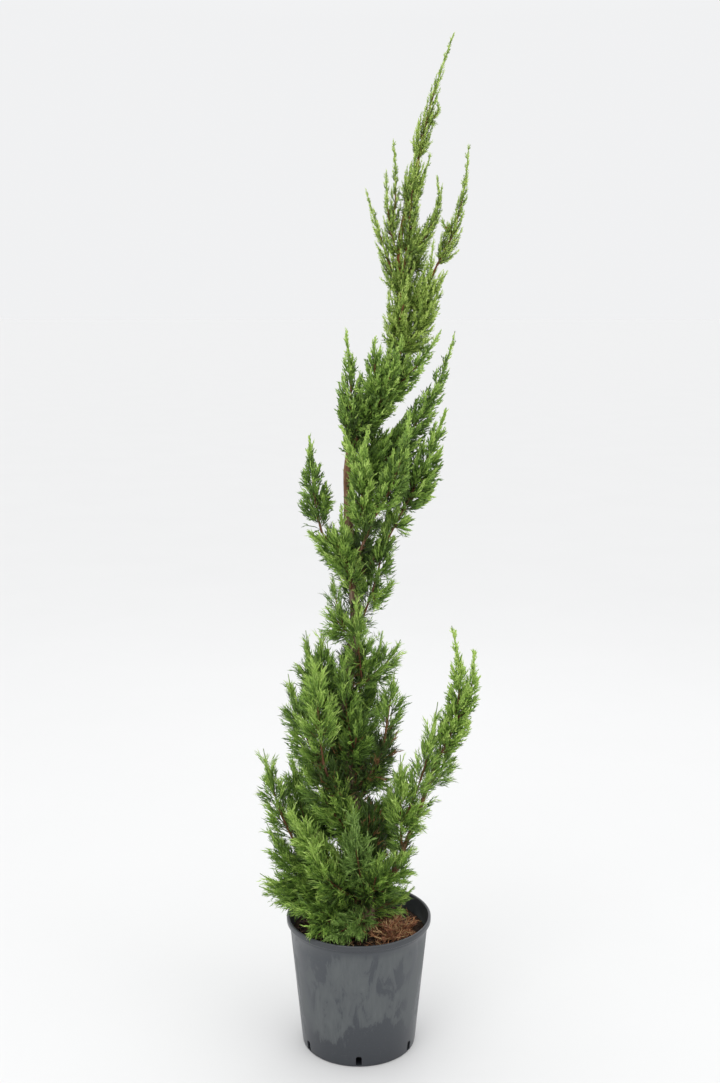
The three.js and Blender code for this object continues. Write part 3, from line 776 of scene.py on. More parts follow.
growth = {
    "bendOut": 0.6925,  # an axis bends at this share of its way out
    "bendUp": 0.3625,  # and at this share of its way up
    "forkAt": 0.3,  # where further spires leave the first one's axis
    "turn": math.pi * (3 - math.sqrt(5)),
    "stations": 61,  # points kept along an axis
    "fewestShoots": 5,
    "heights": [0.95, 1.25, 1.6, 2.0],  # where the next rows hold: foliage is long below and short above
    "base": [0.34, 0.32, 0.30, 0.34],  # a plume's radius at its foot, as a share of its largest
    "fullest": [0.38, 0.33, 0.24, 0.16],
    "point": [1.5, 1.15, 0.85, 0.60],  # over 1 a plume is rounded, under 1 it is drawn out
    "shootReach": [0.55, 0.66, 0.84, 0.86],  # a shoot's end, as a share of the plume's radius there
    "shootArea": [0.0038, 0.0015, 0.00046, 0.00033],  # of plume surface for each shoot
    "lowAngle": [0.80, 0.72, 0.44, 0.34],  # between a shoot and its axis, at the foot and at the tip
    "tipAngle": [0.34, 0.32, 0.20, 0.14],
    "sprigStep": [0.00120, 0.0014, 0.0028, 0.0032],  # along a shoot
    "sprigSize": [0.044, 0.027, 0.0132, 0.0115],
    "sprigOpen": [1.10, 0.95, 0.54, 0.40],  # between a sprig and its shoot, at the foot and at the tip
    "sprigClose": [0.30, 0.30, 0.20, 0.14],
    "sprigKind": [0, 1, 2, 2],  # which of the kinds of sprig, in their order
    "leadTo": [0.85, 0.92, 1.0, 1.0],  # up to here the axis counts as a shoot too, from the next share on
    "leadFrom": 0.45,
    "ends": (0.02, 0.99),  # shoots end on this stretch of the axis
    "endJitter": 0.7,
    "lowStart": 0.06,  # the lowest shoots leave the axis up to here
    "leastRadius": 0.006,  # that a plume counts with when shoots are shared out
    "reachSpread": (0.6, 1.04),
    "reachBias": 0.6,  # under 1 there are more long shoots than short ones
    "angleSpread": (0.85, 1.15),
    "leaveWider": 1.75,  # a shoot leaves its axis at a wider angle than it goes on
    "widest": 1.45,
    "sprigsFrom": 0.1,  # along a shoot
    "sprigsTo": 0.98,
    "sprigJitter": 0.4,
    "bearing": 0.9,  # share of a shoot's length that counts
    "fewestSprigs": 3,
    "sizeAlong": (1.1, 0.7),
    "sizeSpread": (0.8, 1.2),
    "turnSpread": (-0.4, 0.4),
    "openSpread": (0.82, 1.18),
    "endOpen": 0.08,  # the last sprig goes nearly straight on
    "outlineLeast": 0.004,  # the outline's radius at the least, and what may stand out of it
    "outlinePast": 0.003,
    "shortest": 0.5,  # share of its size that a sprig keeps there
    "boxPast": (-0.002, 0.009, 0.002),  # how far a sprig may pass the solids' box
    "seed": 20,
}

keepOut = {  # no foliage in the pot's wall and rim, or in the soil
    "aboveRim": 0.003,
    "outsideRim": 0.004,
    "inside": 0.136,
    "soilTop": 0.256,
}

collars = {  # short shoots on the limbs themselves: limb, from, to, reach, tint family
    "top": [("trunk", 1.46, 1.58, 0.026, "warm"), ("trunk", 1.69, 1.80, 0.010, "warm"),
            ("trunk", 1.72, 1.80, 0.024, "warm"), ("bough_top_right", 0.3, 1.0, 0.030, "warm")],
    "upper": [("trunk", 1.27, 1.46, 0.032, "inner"), ("trunk", 1.30, 1.46, 0.040, "green"),
              ("trunk", 1.24, 1.29, 0.020, "green"), ("bough_mid_front", 0.0, 1.0, 0.020, "inner")],
    "upper_right": [("bough_mid_right", 0.15, 0.6, 0.018, "inner")],
    "middle": [("trunk", 0.90, 1.07, 0.024, "inner"), ("bough_mid_left", 0.4, 1.0, 0.030, "green"),
               ("bough_mid_right", 0.8, 1.0, 0.030, "green")],
    "waist": [("trunk", 0.54, 0.74, 0.058, "inner"), ("trunk", 0.74, 0.86, 0.030, "inner"),
              ("bough_waist_left", 0.2, 1.0, 0.036, "inner"),
              ("bough_waist_right", 0.2, 1.0, 0.032, "inner")],
    "right": [("bough_right_low", 0.26, 0.5, 0.012, "inner"),
              ("bough_right_low", 0.62, 1.0, 0.018, "green")],
    "low_left": [("bough_left_low", 0.2, 1.0, 0.04, "inner"),
                 ("bough_left_low", 0.65, 1.0, 0.055, "green")],
    "low_front": [("trunk", 0.30, 0.54, 0.068, "inner")],
    "low_back": [("bough_back_low", 0.2, 1.0, 0.04, "inner")],
}

# Tones of the foliage. The tone that rises along a shoot and up a plume is painted shade deep in the plume
# and painted light at the tips, on top of the tips' fresher green.
freshAndShade = {
    "bright": {  # how much brighter or darker than the rest a mass is
        "leader": 0.18, "top_outer_right": 0.14, "top_outer_left": 0.10, "top_left": 0.04, "top_right": 0.04,
        "shoulder_left": 0.14, "shoulder_right": 0.10, "upper_left": 0.04, "upper_front_left": 0.14,
        "upper_front": 0.04, "upper_right": -0.14, "upper_right_low": 0.04, "cloud_front": -0.03,
        "mid_left": -0.06, "mid_front": 0.08, "waist_front_left": 0.15, "waist_right": -0.02,
        "waist_right_low": -0.08, "waist_front": -0.18, "waist_back_left": -0.05, "right_spire": 0.28,
        "right_inner": 0.16, "low_left_bright": 0.22, "low_left_upper": -0.12, "low_skirt_left": -0.04,
        "low_front_left": 0.04, "low_front": 0.05, "skirt_front": 0.14, "skirt_front_left": -0.16,
    },
    "fine": {"right_spire": 0.5, "right_outer": 0.3},  # as fine as foliage this much higher up
    "family": {"skirt_front": "cool", "low_front": "cool"},  # masses that are blue-green
    "zoneFamily": {"top": "warm"},  # and a zone that is yellower
    "least": -0.13,  # a sprig's tone, with painted shade: more along its shoot and up its plume
    "along": 0.64,
    "upward": 0.30,
    "shootSpread": (-0.13, 0.13),
    "sprigSpread": (-0.32, 0.32),
    "deadShare": 0.1,  # of the inner sprigs, below a height
    "deadBelow": 0.8,
}

tints = {  # from dark to light, the last two of each family for the younger faces of a sprig, lighter also as painted light
    "green": [(54, 74, 31), (77, 104, 42), (101, 132, 54), (124, 158, 66), (147, 180, 80), (170, 200, 97),
              (192, 218, 120)],
    "warm": [(58, 75, 31), (82, 104, 42), (107, 132, 54), (130, 158, 66), (153, 180, 80), (175, 199, 97),
             (196, 217, 121)],
    "cool": [(68, 92, 43), (92, 121, 56), (119, 150, 72), (148, 178, 96)],
    # inner: for the shoots on the limbs inside the crown, darker both for their own deeper green and as
    # painted shade
    "inner": [(38, 52, 23), (50, 68, 29), (65, 88, 36), (82, 108, 43)],
    "dead": [(92, 64, 40), (118, 84, 52), (140, 104, 66)],
}
firstTint = {}  # where each family starts in the list of leaf materials
for family in tints:
    firstTint[family] = sum(len(tints[other]) for other in firstTint)


def pointAlong(line, share):
    place = np.clip(share, 0, 1) * (len(line) - 1)
    low = np.minimum(place.astype(int), len(line) - 2)
    part = (place - low)[:, None]
    return line[low] * (1 - part) + line[low + 1] * part


def pointAt(line, share):
    return pointAlong(line, np.array([share]))[0]


def byHeight(name, height):
    return np.interp(height, growth["heights"], growth[name])


def swell(share, height):  # a plume's radius as a share of its largest
    fullest = byHeight("fullest", height)
    below = mix(byHeight("base", height), 1, smooth(share / fullest))
    above = 1 - (np.maximum(share - fullest, 0) / (1 - fullest)) ** byHeight("point", height)
    return np.where(share < fullest, below, above)


def newPlume(line, girth, radii, lift=0, pointed=True):
    return {"line": line, "tangents": unit(np.gradient(line, axis=0)), "length": lineLength(line),
            "girth": girth, "radii": radii, "lift": lift, "pointed": pointed}


def radiusAlong(plume, share):
    return np.interp(share, np.linspace(0, 1, growth["stations"]), plume["radii"])


def spiresOf(carrier, start, spires, lift):
    foot = trunkAt(start) if carrier == "trunk" else pointAt(boughLines[carrier], start)
    made = []
    for x, y, z, girth, lean in spires:
        tip = np.array([x, y, z])
        base = pointAt(made[0]["line"], growth["forkAt"]) if made else foot
        share = np.array([growth["bendOut"], growth["bendOut"], growth["bendUp"]])
        bend = mix(base, tip, share) + np.array([lean, 0, 0])
        line = bendLine(base, bend, tip, growth["stations"])
        radii = girth * swell(np.linspace(0, 1, growth["stations"]), z + lift)
        made.append(newPlume(line, girth, radii, lift))
    return made


def collarOn(limb, start, stop, reach):  # shoots on a stretch of limb count as a plume of even radius
    if limb == "trunk":
        part = (trunkLine[:, 2] >= start) & (trunkLine[:, 2] <= stop)
        line = evenLine(trunkLine[part], growth["stations"])
    else:
        line = pointAlong(boughLines[limb], np.linspace(start, stop, growth["stations"]))
    return newPlume(line, reach, np.full(growth["stations"], reach), pointed=False)


def growShoots(plume, random):  # side shoots whose ends lie evenly over the plume, set at the golden angle
    shares = np.linspace(*growth["ends"], 200)
    weight = np.maximum(radiusAlong(plume, shares), growth["leastRadius"])
    middle = plume["line"][growth["stations"] // 2][2] + plume["lift"]
    area = 2 * math.pi * weight.mean() * plume["length"]
    count = round(growth["fewestShoots"] + area / byHeight("shootArea", middle))
    spread = np.cumsum(weight) / weight.sum()
    order = np.arange(count)
    end = np.interp((order + growth["endJitter"] * random.random(count)) / count, spread, shares)
    reach = radiusAlong(plume, end) * byHeight("shootReach", middle)
    reach = reach * mix(*growth["reachSpread"], random.random(count) ** growth["reachBias"])
    angle = mix(byHeight("lowAngle", middle), byHeight("tipAngle", middle), end)
    angle = angle * between(random, growth["angleSpread"], count)
    start = end - reach / np.tan(angle) / plume["length"]
    start = np.minimum(np.maximum(start, growth["lowStart"] * random.random(count)), end)
    turn = random.random() * 2 * math.pi + order * growth["turn"]
    root = pointAlong(plume["line"], start)
    ahead = unit(pointAlong(plume["tangents"], start))
    aside = unit(np.cross([0, 1, 0], ahead))
    outward = swing(aside, np.cross(ahead, aside), turn)
    tip = pointAlong(plume["line"], end) + outward * reach[:, None]
    span = np.linalg.norm(tip - root, axis=1)
    leave = swing(ahead, outward, np.minimum(angle * growth["leaveWider"], growth["widest"]))
    shoots = {"root": root, "bend": root + leave * (0.5 * span)[:, None], "tip": tip, "outward": outward,
              "start": start, "end": end, "span": span, "tone": between(random, freshAndShade["shootSpread"], count)}
    if plume["pointed"]:
        lead = axisShoot(plume, aside[-1])
        shoots = {key: np.concatenate([value, lead[key]]) for key, value in shoots.items()}
    return shoots


def axisShoot(plume, aside):  # the upper part of the axis, told like one more side shoot
    start, stop = growth["leadFrom"], byHeight("leadTo", plume["line"][-1][2] + plume["lift"])
    root, middle, tip = (pointAlong(plume["line"], np.array([s])) for s in (start, (start + stop) / 2, stop))
    return {"root": root, "bend": 2 * middle - (root + tip) / 2, "tip": tip, "outward": aside[None],
            "start": np.array([start]), "end": np.array([stop]),
            "span": np.array([(stop - start) * plume["length"]]), "tone": np.array([0.0])}


def shootPoint(shoots, which, share):  # places on shoots, and the ways that the shoots go there
    t = share[:, None]
    root, bend, tip = shoots["root"][which], shoots["bend"][which], shoots["tip"][which]
    return curvePoint(root, bend, tip, t), unit(2 * (bend - root) * (1 - t) + 2 * (tip - bend) * t)


def inPotOrSoil(points):
    out = np.hypot(points[:, 0], points[:, 1])
    within = out < pot["rimRadius"] + keepOut["outsideRim"]
    wall = (points[:, 2] < pot["height"] + keepOut["aboveRim"]) & (out > keepOut["inside"])
    return within & (wall | (points[:, 2] < keepOut["soilTop"]))


def drawnIn(plume, shoots, which, along, root, forward, size):  # sprigs that pass the outline are shortened
    place = mix(shoots["start"][which], shoots["end"][which], along)
    place = place + (forward * unit(pointAlong(plume["tangents"], place))).sum(1) * size / plume["length"]
    out = np.linalg.norm(root + forward * size[:, None] - pointAlong(plume["line"], place), axis=1)
    most = np.maximum(radiusAlong(plume, place), growth["outlineLeast"]) + growth["outlinePast"]
    return size * np.clip(most / out, growth["shortest"], 1)


def growSprigs(plume, shoots, bright, family, random):
    step = byHeight("sprigStep", shoots["tip"][:, 2] + plume["lift"])
    counts = np.round(growth["bearing"] * shoots["span"] / step).astype(int)
    counts = np.maximum(growth["fewestSprigs"], counts)
    which = np.repeat(np.arange(len(counts)), counts)
    order = np.concatenate([np.arange(c) for c in counts])
    number = len(which)
    last = order == counts[which] - 1
    along = (order + growth["sprigJitter"] * random.random(number)) / counts[which]
    along = np.where(last, growth["sprigsTo"], mix(growth["sprigsFrom"], growth["sprigsTo"], along))
    root, ahead = shootPoint(shoots, which, along)
    height = root[:, 2] + plume["lift"]
    size = byHeight("sprigSize", height) * mix(*growth["sizeAlong"], along)
    size = size * between(random, growth["sizeSpread"], number)
    around = unit(np.cross(ahead, shoots["outward"][which]))
    turn = order * growth["turn"] + between(random, growth["turnSpread"], number)
    spread = mix(byHeight("sprigOpen", height), byHeight("sprigClose", height), along)
    spread = np.where(last, growth["endOpen"], spread * between(random, growth["openSpread"], number))
    forward = swing(ahead, swing(around, np.cross(ahead, around), turn), spread)
    size = drawnIn(plume, shoots, which, along, root, forward, size)
    tip = root + forward * size[:, None]
    past = np.array(growth["boxPast"])
    boxed = ((tip > np.array(cadLow) - past) & (tip < np.array(cadHigh) + past)).all(1)
    clear = boxed & ~inPotOrSoil(root) & ~inPotOrSoil(tip)

    # painted shade: sprigs near a shoot's foot and low in a plume are darker, those toward the tips lighter,
    # besides the tips' fresher green
    tone = freshAndShade["least"] + freshAndShade["along"] * along + freshAndShade["upward"] * shoots["end"][which]
    tone = tone + bright + shoots["tone"][which] + between(random, freshAndShade["sprigSpread"], number)
    shades = len(tints[family])  # the last two are left to younger faces, lighter also as painted light
    tint = firstTint[family] + np.clip(np.floor(tone * (shades - 1)), 0, shades - 3)
    if family == "inner":
        dead = (random.random(number) < freshAndShade["deadShare"]) & (root[:, 2] < freshAndShade["deadBelow"])
        tint = np.where(dead, firstTint["dead"], tint)
    kind = np.clip(np.round(byHeight("sprigKind", height) + random.random(number) - 0.5), 0, 2)
    shape = sprig["variants"] * kind + random.integers(0, sprig["variants"], number)
    made = {"root": root, "forward": forward, "side": ahead, "size": size, "tint": tint, "shape": shape}
    return {key: value[clear] for key, value in made.items()}


# Sprig shapes: a main cord along +Z that bends to +X, with side cords; unit length

sprig = {
    "sides": 3,
    "variants": 3,
    "kinds": {
        "brush": {"radius": 0.026, "rings": (0.3, 0.72), "bend": 0.56, "cords": 3, "from": 0.42, "to": 0.80,
                  "cordLength": 0.60, "fan": 0.17},
        "tuft": {"radius": 0.040, "rings": (0.3, 0.72), "bend": 0.38, "cords": 4, "from": 0.25, "to": 0.80,
                 "cordLength": 0.56, "fan": 0.18},
        "scaly": {"radius": 0.068, "rings": (0.42,), "bend": 0.14, "cords": 4, "from": 0.1, "to": 0.76,
                  "cordLength": 0.62, "fan": 0.26},
    },
    "thickAlong": ([0, 0.2, 0.8, 1], [0, 1, 0.8, 0]),
    "bendSpread": (0.7, 1.3),
    "sway": (-0.08, 0.08),
    "cordTurn": (-0.7, 0.7),
    "lengthSpread": (0.8, 1.2),
    "lengthLoss": 0.5,  # of cords at the tip, against those at the foot
    "fanSpread": (0.75, 1.2),
    "fanLoss": 0.75,
    "cordMiddle": (0.34, 0.8),  # shares of a cord's length and of its way out
    "cordEnd": 0.95,
    "keelDrop": 0.6,  # shares of the radius
    "keelRise": 0.3,
    "droop": 0.3,  # bent cords are lower
    "roughness": 0.48,
    "specular": 0.4,
    "seed": 8,
}


def mainCord(line, radii, random):  # a ring of corners at each inner point and a point at each end
    across, up = turningSides(line)
    sides, rings = sprig["sides"], len(line) - 2
    angle = random.random() * 2 * math.pi + 2 * math.pi * np.arange(sides) / sides
    ring = across[1:-1, None] * np.cos(angle)[:, None] + up[1:-1, None] * np.sin(angle)[:, None]
    corners = (line[1:-1, None] + radii[1:-1, None, None] * ring).reshape(-1, 3)
    # a darker foot and a lighter tip: painted shade at the foot and painted light at the tip, besides the
    # tip's younger growth
    young = [1] * (rings - 1) * sides + [0, 2] * sides
    return [*corners, line[0], line[-1]], tubeFaces(rings, sides), young


def sideCord(root, middle, end, radius, random):  # a slim keeled cord of four faces
    ahead = unit(end - root)
    side = unit(np.cross(ahead, random.standard_normal(3)))
    keel = np.cross(ahead, side)
    drop, rise = sprig["keelDrop"] * radius * keel, sprig["keelRise"] * radius * keel
    left, right = middle + radius * side - drop, middle - radius * side - drop
    root, end = root + rise, end + rise
    if np.dot(np.cross(left - root, right - root), end - root) < 0:
        left, right = right, left
    faces = [(0, 2, 1), (0, 1, 3), (1, 2, 3), (2, 0, 3)]
    # the face at the end is a step lighter, as painted light and as younger growth
    return [root, left, right, end], faces, [1, 1, 2, 1]


def sprigMesh(name, kind, random):
    sizes = sprig["kinds"][kind]
    t = np.array([0, *sizes["rings"], 1])
    bend = sizes["bend"] * between(random, sprig["bendSpread"])
    sway = between(random, sprig["sway"])
    main = np.column_stack([bend * t**2, sway * t**2, t * (1 - sprig["droop"] * bend * t)])
    radii = sizes["radius"] * np.interp(t, *sprig["thickAlong"])
    vertices, faces, young = mainCord(main, radii, random)
    stem = evenLine(main, 20)
    for i in range(sizes["cords"]):
        at = mix(sizes["from"], sizes["to"], i / (sizes["cords"] - 1))
        root, later = pointAlong(stem, np.array([at, at + 0.05]))
        ahead = unit(later - root)
        turn = math.pi * (i % 2) + between(random, sprig["cordTurn"])
        side = np.array([math.cos(turn), math.sin(turn), 0])
        side = unit(side - ahead * (side @ ahead))
        length = sizes["cordLength"] * (1 - sprig["lengthLoss"] * at) * between(random, sprig["lengthSpread"])
        offset = sizes["fan"] * (1 - sprig["fanLoss"] * at) * between(random, sprig["fanSpread"])
        middleAlong, middleOut = sprig["cordMiddle"]
        middle = root + ahead * length * middleAlong + side * offset * middleOut
        end = root + ahead * length * sprig["cordEnd"] + side * offset
        corners, sheets, cordSteps = sideCord(root, middle, end, sizes["radius"], random)
        faces += [tuple(len(vertices) + k for k in sheet) for sheet in sheets]
        vertices += corners
        young += cordSteps
    mesh = bpy.data.meshes.new(name)
    mesh.from_pydata(np.array(vertices).tolist(), [], faces)
    setValues(mesh, "young", young, domain="FACE")
    return mesh


def shapeCollection(name, meshes):  # kept out of the scene, for the node trees to draw from
    group = bpy.data.collections.new(name)
    for i, mesh in enumerate(meshes):
        group.objects.link(bpy.data.objects.new(f"{name}_{i:02d}", mesh))
    return group


def dropCollection(group):
    for obj in list(group.objects):
        mesh = obj.data
        bpy.data.objects.remove(obj)
        bpy.data.meshes.remove(mesh)
    bpy.data.collections.remove(group)


# Geometry Nodes: trees from geometry to geometry, with named inputs

def newTree(name, inputs):
    tree = bpy.data.node_groups.new(name, "GeometryNodeTree")
    tree.interface.new_socket("Geometry", in_out="INPUT", socket_type="NodeSocketGeometry")
    identifiers = {}
    for key, kind in inputs.items():
        identifiers[key] = tree.interface.new_socket(key, in_out="INPUT", socket_type=kind).identifier
    tree.interface.new_socket("Geometry", in_out="OUTPUT", socket_type="NodeSocketGeometry")
    return tree, identifiers, addNode(tree, "NodeGroupInput").outputs


def runTree(obj, made, values, drop):
    tree, identifiers = made
    modifier = obj.modifiers.new(tree.name, "NODES")
    modifier.node_group = tree
    for key, value in values.items():
        modifier[identifiers[key]] = value
    applyModifiers(obj, drop)


def namedValue(tree, name, kind="FLOAT"):
    node = addNode(tree, "GeometryNodeInputNamedAttribute", {"data_type": kind}, {"Name": name})
    return node.outputs["Attribute"]


def addCompare(tree, operation, values):
    settings = {"data_type": "FLOAT", "operation": operation}
    return addNode(tree, "FunctionNodeCompare", settings, values).outputs["Result"]


def addPaint(tree, geometry, material, selection=True):
    values = {"Geometry": geometry, "Material": material, "Selection": selection}
    return addNode(tree, "GeometryNodeSetMaterial", values=values).outputs["Geometry"]


def scatterTree(name, materials):  # shapes on points, turned, sized and tinted by each point's values
    inputs = {"Shapes": "NodeSocketCollection", "Scale": "NodeSocketFloat"}
    tree, identifiers, given = newTree(name, inputs)
    drawn = addNode(tree, "GeometryNodeCollectionInfo", values={
        "Collection": given["Shapes"], "Separate Children": True, "Reset Children": True})
    aim = addNode(tree, "FunctionNodeAlignRotationToVector", {"axis": "Z"}, {
        "Vector": namedValue(tree, "forward", "FLOAT_VECTOR")})
    roll = addNode(tree, "FunctionNodeAlignRotationToVector", {"axis": "X", "pivot_axis": "Z"}, {
        "Rotation": aim.outputs["Rotation"], "Vector": namedValue(tree, "side", "FLOAT_VECTOR")})
    place = addNode(tree, "GeometryNodeInstanceOnPoints", values={
        "Points": given["Geometry"], "Instance": drawn.outputs["Instances"], "Pick Instance": True,
        "Instance Index": namedValue(tree, "shape", "INT"), "Rotation": roll.outputs["Rotation"],
        "Scale": addMath(tree, "MULTIPLY", namedValue(tree, "size"), given["Scale"])})
    real = addNode(tree, "GeometryNodeRealizeInstances", values={"Geometry": place.outputs["Instances"]})
    # each face's tint steps by its young value, which on sprigs paints shade at the foot and light at the tip
    tint = addMath(tree, "ADD", namedValue(tree, "tint"), namedValue(tree, "young"))
    geometry = real.outputs["Geometry"]
    for i, material in enumerate(materials):
        same = addCompare(tree, "EQUAL", {"A": tint, "B": float(i), "Epsilon": 0.5})
        geometry = addPaint(tree, geometry, material, same)
    addNode(tree, "NodeGroupOutput", values={"Geometry": geometry})
    return tree, identifiers


def scatter(name, points, made, shapes, scale=1.0):  # points is a dictionary of arrays
    obj = meshObject(name, points["root"])
    for key in ("forward", "side"):
        setValues(obj.data, key, points[key], "FLOAT_VECTOR")
    for key in ("size", "tint"):
        setValues(obj.data, key, points[key])
    setValues(obj.data, "shape", points["shape"], "INT")
    runTree(obj, made, {"Shapes": shapes, "Scale": scale}, (*points, "young"))
    return obj


twig = {
    "stemRadius": (0.003, 0.0009),  # from foot to tip
    "shootRadius": (0.0010, 0.0005),
    "slimmest": 0.45,  # stems of slim plumes are thinner
    "slimGirth": 0.05,
    "stemPoints": 25,
    "shootPoints": 4,
    "sides": 3,
    "greenFrom": 0.45,  # along a stem, it turns green over the next share
    "greenOver": 0.3,
    "greenShoots": 0.4,  # shoots from here on are green all along, others in their outer half
    "materials": [("twigBark", {"Base Color": screenColour(118, 80, 48), "Roughness": 0.8}),
                  ("twigGreen", {"Base Color": screenColour(112, 140, 56), "Roughness": 0.6})],
}


def twigTree(name, barkTint, greenTint):  # tubes along lines, as thick and as green as each point says
    tree, identifiers, given = newTree(name, {"Sides": "NodeSocketInt"})
    curve = addNode(tree, "GeometryNodeMeshToCurve", values={"Mesh": given["Geometry"]})
    ring = addNode(tree, "GeometryNodeCurvePrimitiveCircle", values={
        "Radius": 1.0, "Resolution": given["Sides"]})
    tube = addNode(tree, "GeometryNodeCurveToMesh", values={
        "Curve": curve.outputs["Curve"], "Profile Curve": ring.outputs["Curve"],
        "Scale": namedValue(tree, "thick"), "Fill Caps": True})
    real = addNode(tree, "GeometryNodeRealizeInstances", values={"Geometry": tube.outputs["Mesh"]})
    geometry = addPaint(tree, real.outputs["Geometry"], barkTint)
    green = addCompare(tree, "GREATER_THAN", {"A": namedValue(tree, "green"), "B": 0.5})
    geometry = addPaint(tree, geometry, greenTint, green)
    addNode(tree, "NodeGroupOutput", values={"Geometry": geometry})
    return tree, identifiers


def twigs(name, lines, made):  # lines are (points, radii, greenness)
    points, radii, greens = zip(*lines)
    edges, start = [], 0
    for line in points:
        edges += [(start + i, start + i + 1) for i in range(len(line) - 1)]
        start += len(line)
    obj = meshObject(name, np.vstack(points), edges=edges)
    setValues(obj.data, "thick", np.concatenate(radii))
    setValues(obj.data, "green", np.concatenate(greens))
    runTree(obj, made, {"Sides": twig["sides"]}, ("thick", "green"))
    obj.data.shade_smooth()
    return obj


def twigLines(plume, shoots):
    slim = min(1.0, twig["slimmest"] + plume["girth"] / twig["slimGirth"])
    lines = []
    if plume["pointed"]:  # a collar's stem is the limb itself
        share = np.linspace(0, 1, twig["stemPoints"])
        green = smooth((share - twig["greenFrom"]) / twig["greenOver"])
        lines.append((pointAlong(plume["line"], share), mix(*twig["stemRadius"], share) * slim, green))
    t = np.linspace(0, 1, twig["shootPoints"])
    for i, start in enumerate(shoots["start"]):
        place = shootPoint(shoots, np.full(len(t), i), t)[0]
        green = (t > 0.5) | (start > twig["greenShoots"])
        if not inPotOrSoil(place).any():
            lines.append((place, mix(*twig["shootRadius"], t) * slim, green))
    return lines


def growZone(zone, random):  # all sprigs and twigs of a zone's masses, and of the shoots on its limbs
    grown = []
    for mass, carrier, start, spires in masses[zone]:
        family = freshAndShade["family"].get(mass, freshAndShade["zoneFamily"].get(zone, "green"))
        for plume in spiresOf(carrier, start, spires, freshAndShade["fine"].get(mass, 0)):
            grown.append((plume, freshAndShade["bright"].get(mass, 0), family))
    grown += [(collarOn(*collar), 0, family) for *collar, family in collars[zone]]
    points, lines = [], []
    for plume, bright, family in grown:
        shoots = growShoots(plume, random)
        points.append(growSprigs(plume, shoots, bright, family, random))
        lines += twigLines(plume, shoots)
    return {key: np.concatenate([p[key] for p in points]) for key in points[0]}, lines


def makeFoliage():
    random = np.random.default_rng(growth["seed"])
    shapeRandom = np.random.default_rng(sprig["seed"])
    shapes = shapeCollection("sprigs", [sprigMesh(f"sprig_{kind}_{i}", kind, shapeRandom)
                                        for kind in sprig["kinds"] for i in range(sprig["variants"])])
    leafMaterials = []
    for family, shades in tints.items():
        sockets = {"Roughness": sprig["roughness"], "Specular IOR Level": sprig["specular"]}
        leafMaterials += plainMaterials(family + "Leaf", shades, sockets)
    leafTree = scatterTree("sprigsOnShoots", leafMaterials)
    stemTree = twigTree("twigsAlongLines", *[newMaterial(*row)[0] for row in twig["materials"]])
    total = 0
    for zone, rows in masses.items():
        points, lines = growZone(zone, random)
        leaves = scatter("foliage_" + zone, points, leafTree, shapes)
        stems = twigs("twigs_" + zone, lines, stemTree)
        for piece in (leaves, stems):
            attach(piece, body)
        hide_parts(*[row[0] for row in rows])
        leafCount, twigCount = triangleCount(leaves), triangleCount(stems)
        total += leafCount + twigCount
        print("foliage", zone, len(points["size"]), "sprigs,", leafCount, "triangles and", twigCount,
              "in twigs")
    dropCollection(shapes)
    print("foliage ready:", total, "triangles")


makeFoliage()

# Soil, with chips of bark in it and dead sprigs lying on it

soil = {
    "edge": 0.246,
    "middle": 0.252,
    "levelTo": 0.3,  # share of the radius, before it falls to the edge
    "rings": 46,
    "sides": 132,
    "lumps": 0.0032,
    "lumpCells": (44, 16),
    "grainCells": (88, 34),
    "grainShare": 0.6,
    "sunk": 0.9,  # what the roughness is counted from
    "calmTo": 1 / 6,  # share of the radius over which the lumps grow from nothing
    "wallClear": 0.0006,
    "edgeDrop": 0.004,
    "sharpAngle": 80,
    "seed": 11,
}

soilFinish = {
    "crumbs": {"scale": 260, "detail": 4, "roughness": 0.7},
    "damp": {"scale": 26, "detail": 3, "roughness": 0.5},
    "dry": [(0.3, 24, 18, 14), (0.5, 50, 37, 28), (0.68, 80, 59, 44), (0.8, 40, 29, 22)],
    "wet": (34, 24, 18),
    "wetness": (0.4, 0.65, 0, 0.55),
    "bump": (0.8, 0.002),
}

strewn = {  # what lies on the soil; "tints" counts the shades that a piece may start with
    "wallClear": 0.004,
    "trunkClear": 0.024,
    "lengthClear": 0.7,  # of the longest, from the wall
    "smallBias": 1.6,  # over 1 there are more small ones than large ones
    "lift": 0.0015,
    "chips": {"count": 900, "shapes": 5, "sizes": (0.003, 0.011), "slopes": (-0.05, 0.28), "pile": 0.0012,
              "heaped": 0, "tints": 4, "roughness": 0.9, "material": "barkChip", "tree": "chipsOnSoil",
              "uneven": (0.7, 1.2), "flatness": (0.5, 0.75, 1.0),
              "shades": [(40, 28, 20), (66, 46, 33), (96, 70, 50), (52, 36, 26)]},
    "litter": {"count": 760, "shapes": 4, "sizes": (0.016, 0.042), "slopes": (-0.05, 0.4), "pile": 0.012,
               "heaped": 0.8, "heap": (0.086, -0.048), "heapSpread": 0.028,  # most is at the front right
               "tints": 6, "roughness": 0.8, "material": "deadSprig", "tree": "litterOnSoil",
               "shades": [(72, 46, 32), (108, 66, 42), (138, 88, 56), (172, 126, 86), (120, 76, 48),
                          (150, 104, 74), (188, 158, 110), (164, 122, 96)]},
}


def soilHeight(x, y):
    out = np.hypot(x, y) / (potOuter(soil["edge"]) - pot["wall"])
    return mix(soil["middle"], soil["edge"], smooth((out - soil["levelTo"]) / (1 - soil["levelTo"])))


def soilMaterial():
    material, tree, shader = newMaterial("pottingSoil", {"Roughness": 0.95, "Specular IOR Level": 0.15})
    place = objectPlace(tree)
    crumbs = addNoise(tree, place, **soilFinish["crumbs"])
    damp = addRange(tree, addNoise(tree, place, **soilFinish["damp"]), *soilFinish["wetness"])
    dry = addRamp(tree, crumbs, soilFinish["dry"])
    plug(tree, shader, {
        "Base Color": addMix(tree, damp, dry, screenColour(*soilFinish["wet"])),
        "Normal": addBump(tree, crumbs, *soilFinish["bump"]),
    })
    return material


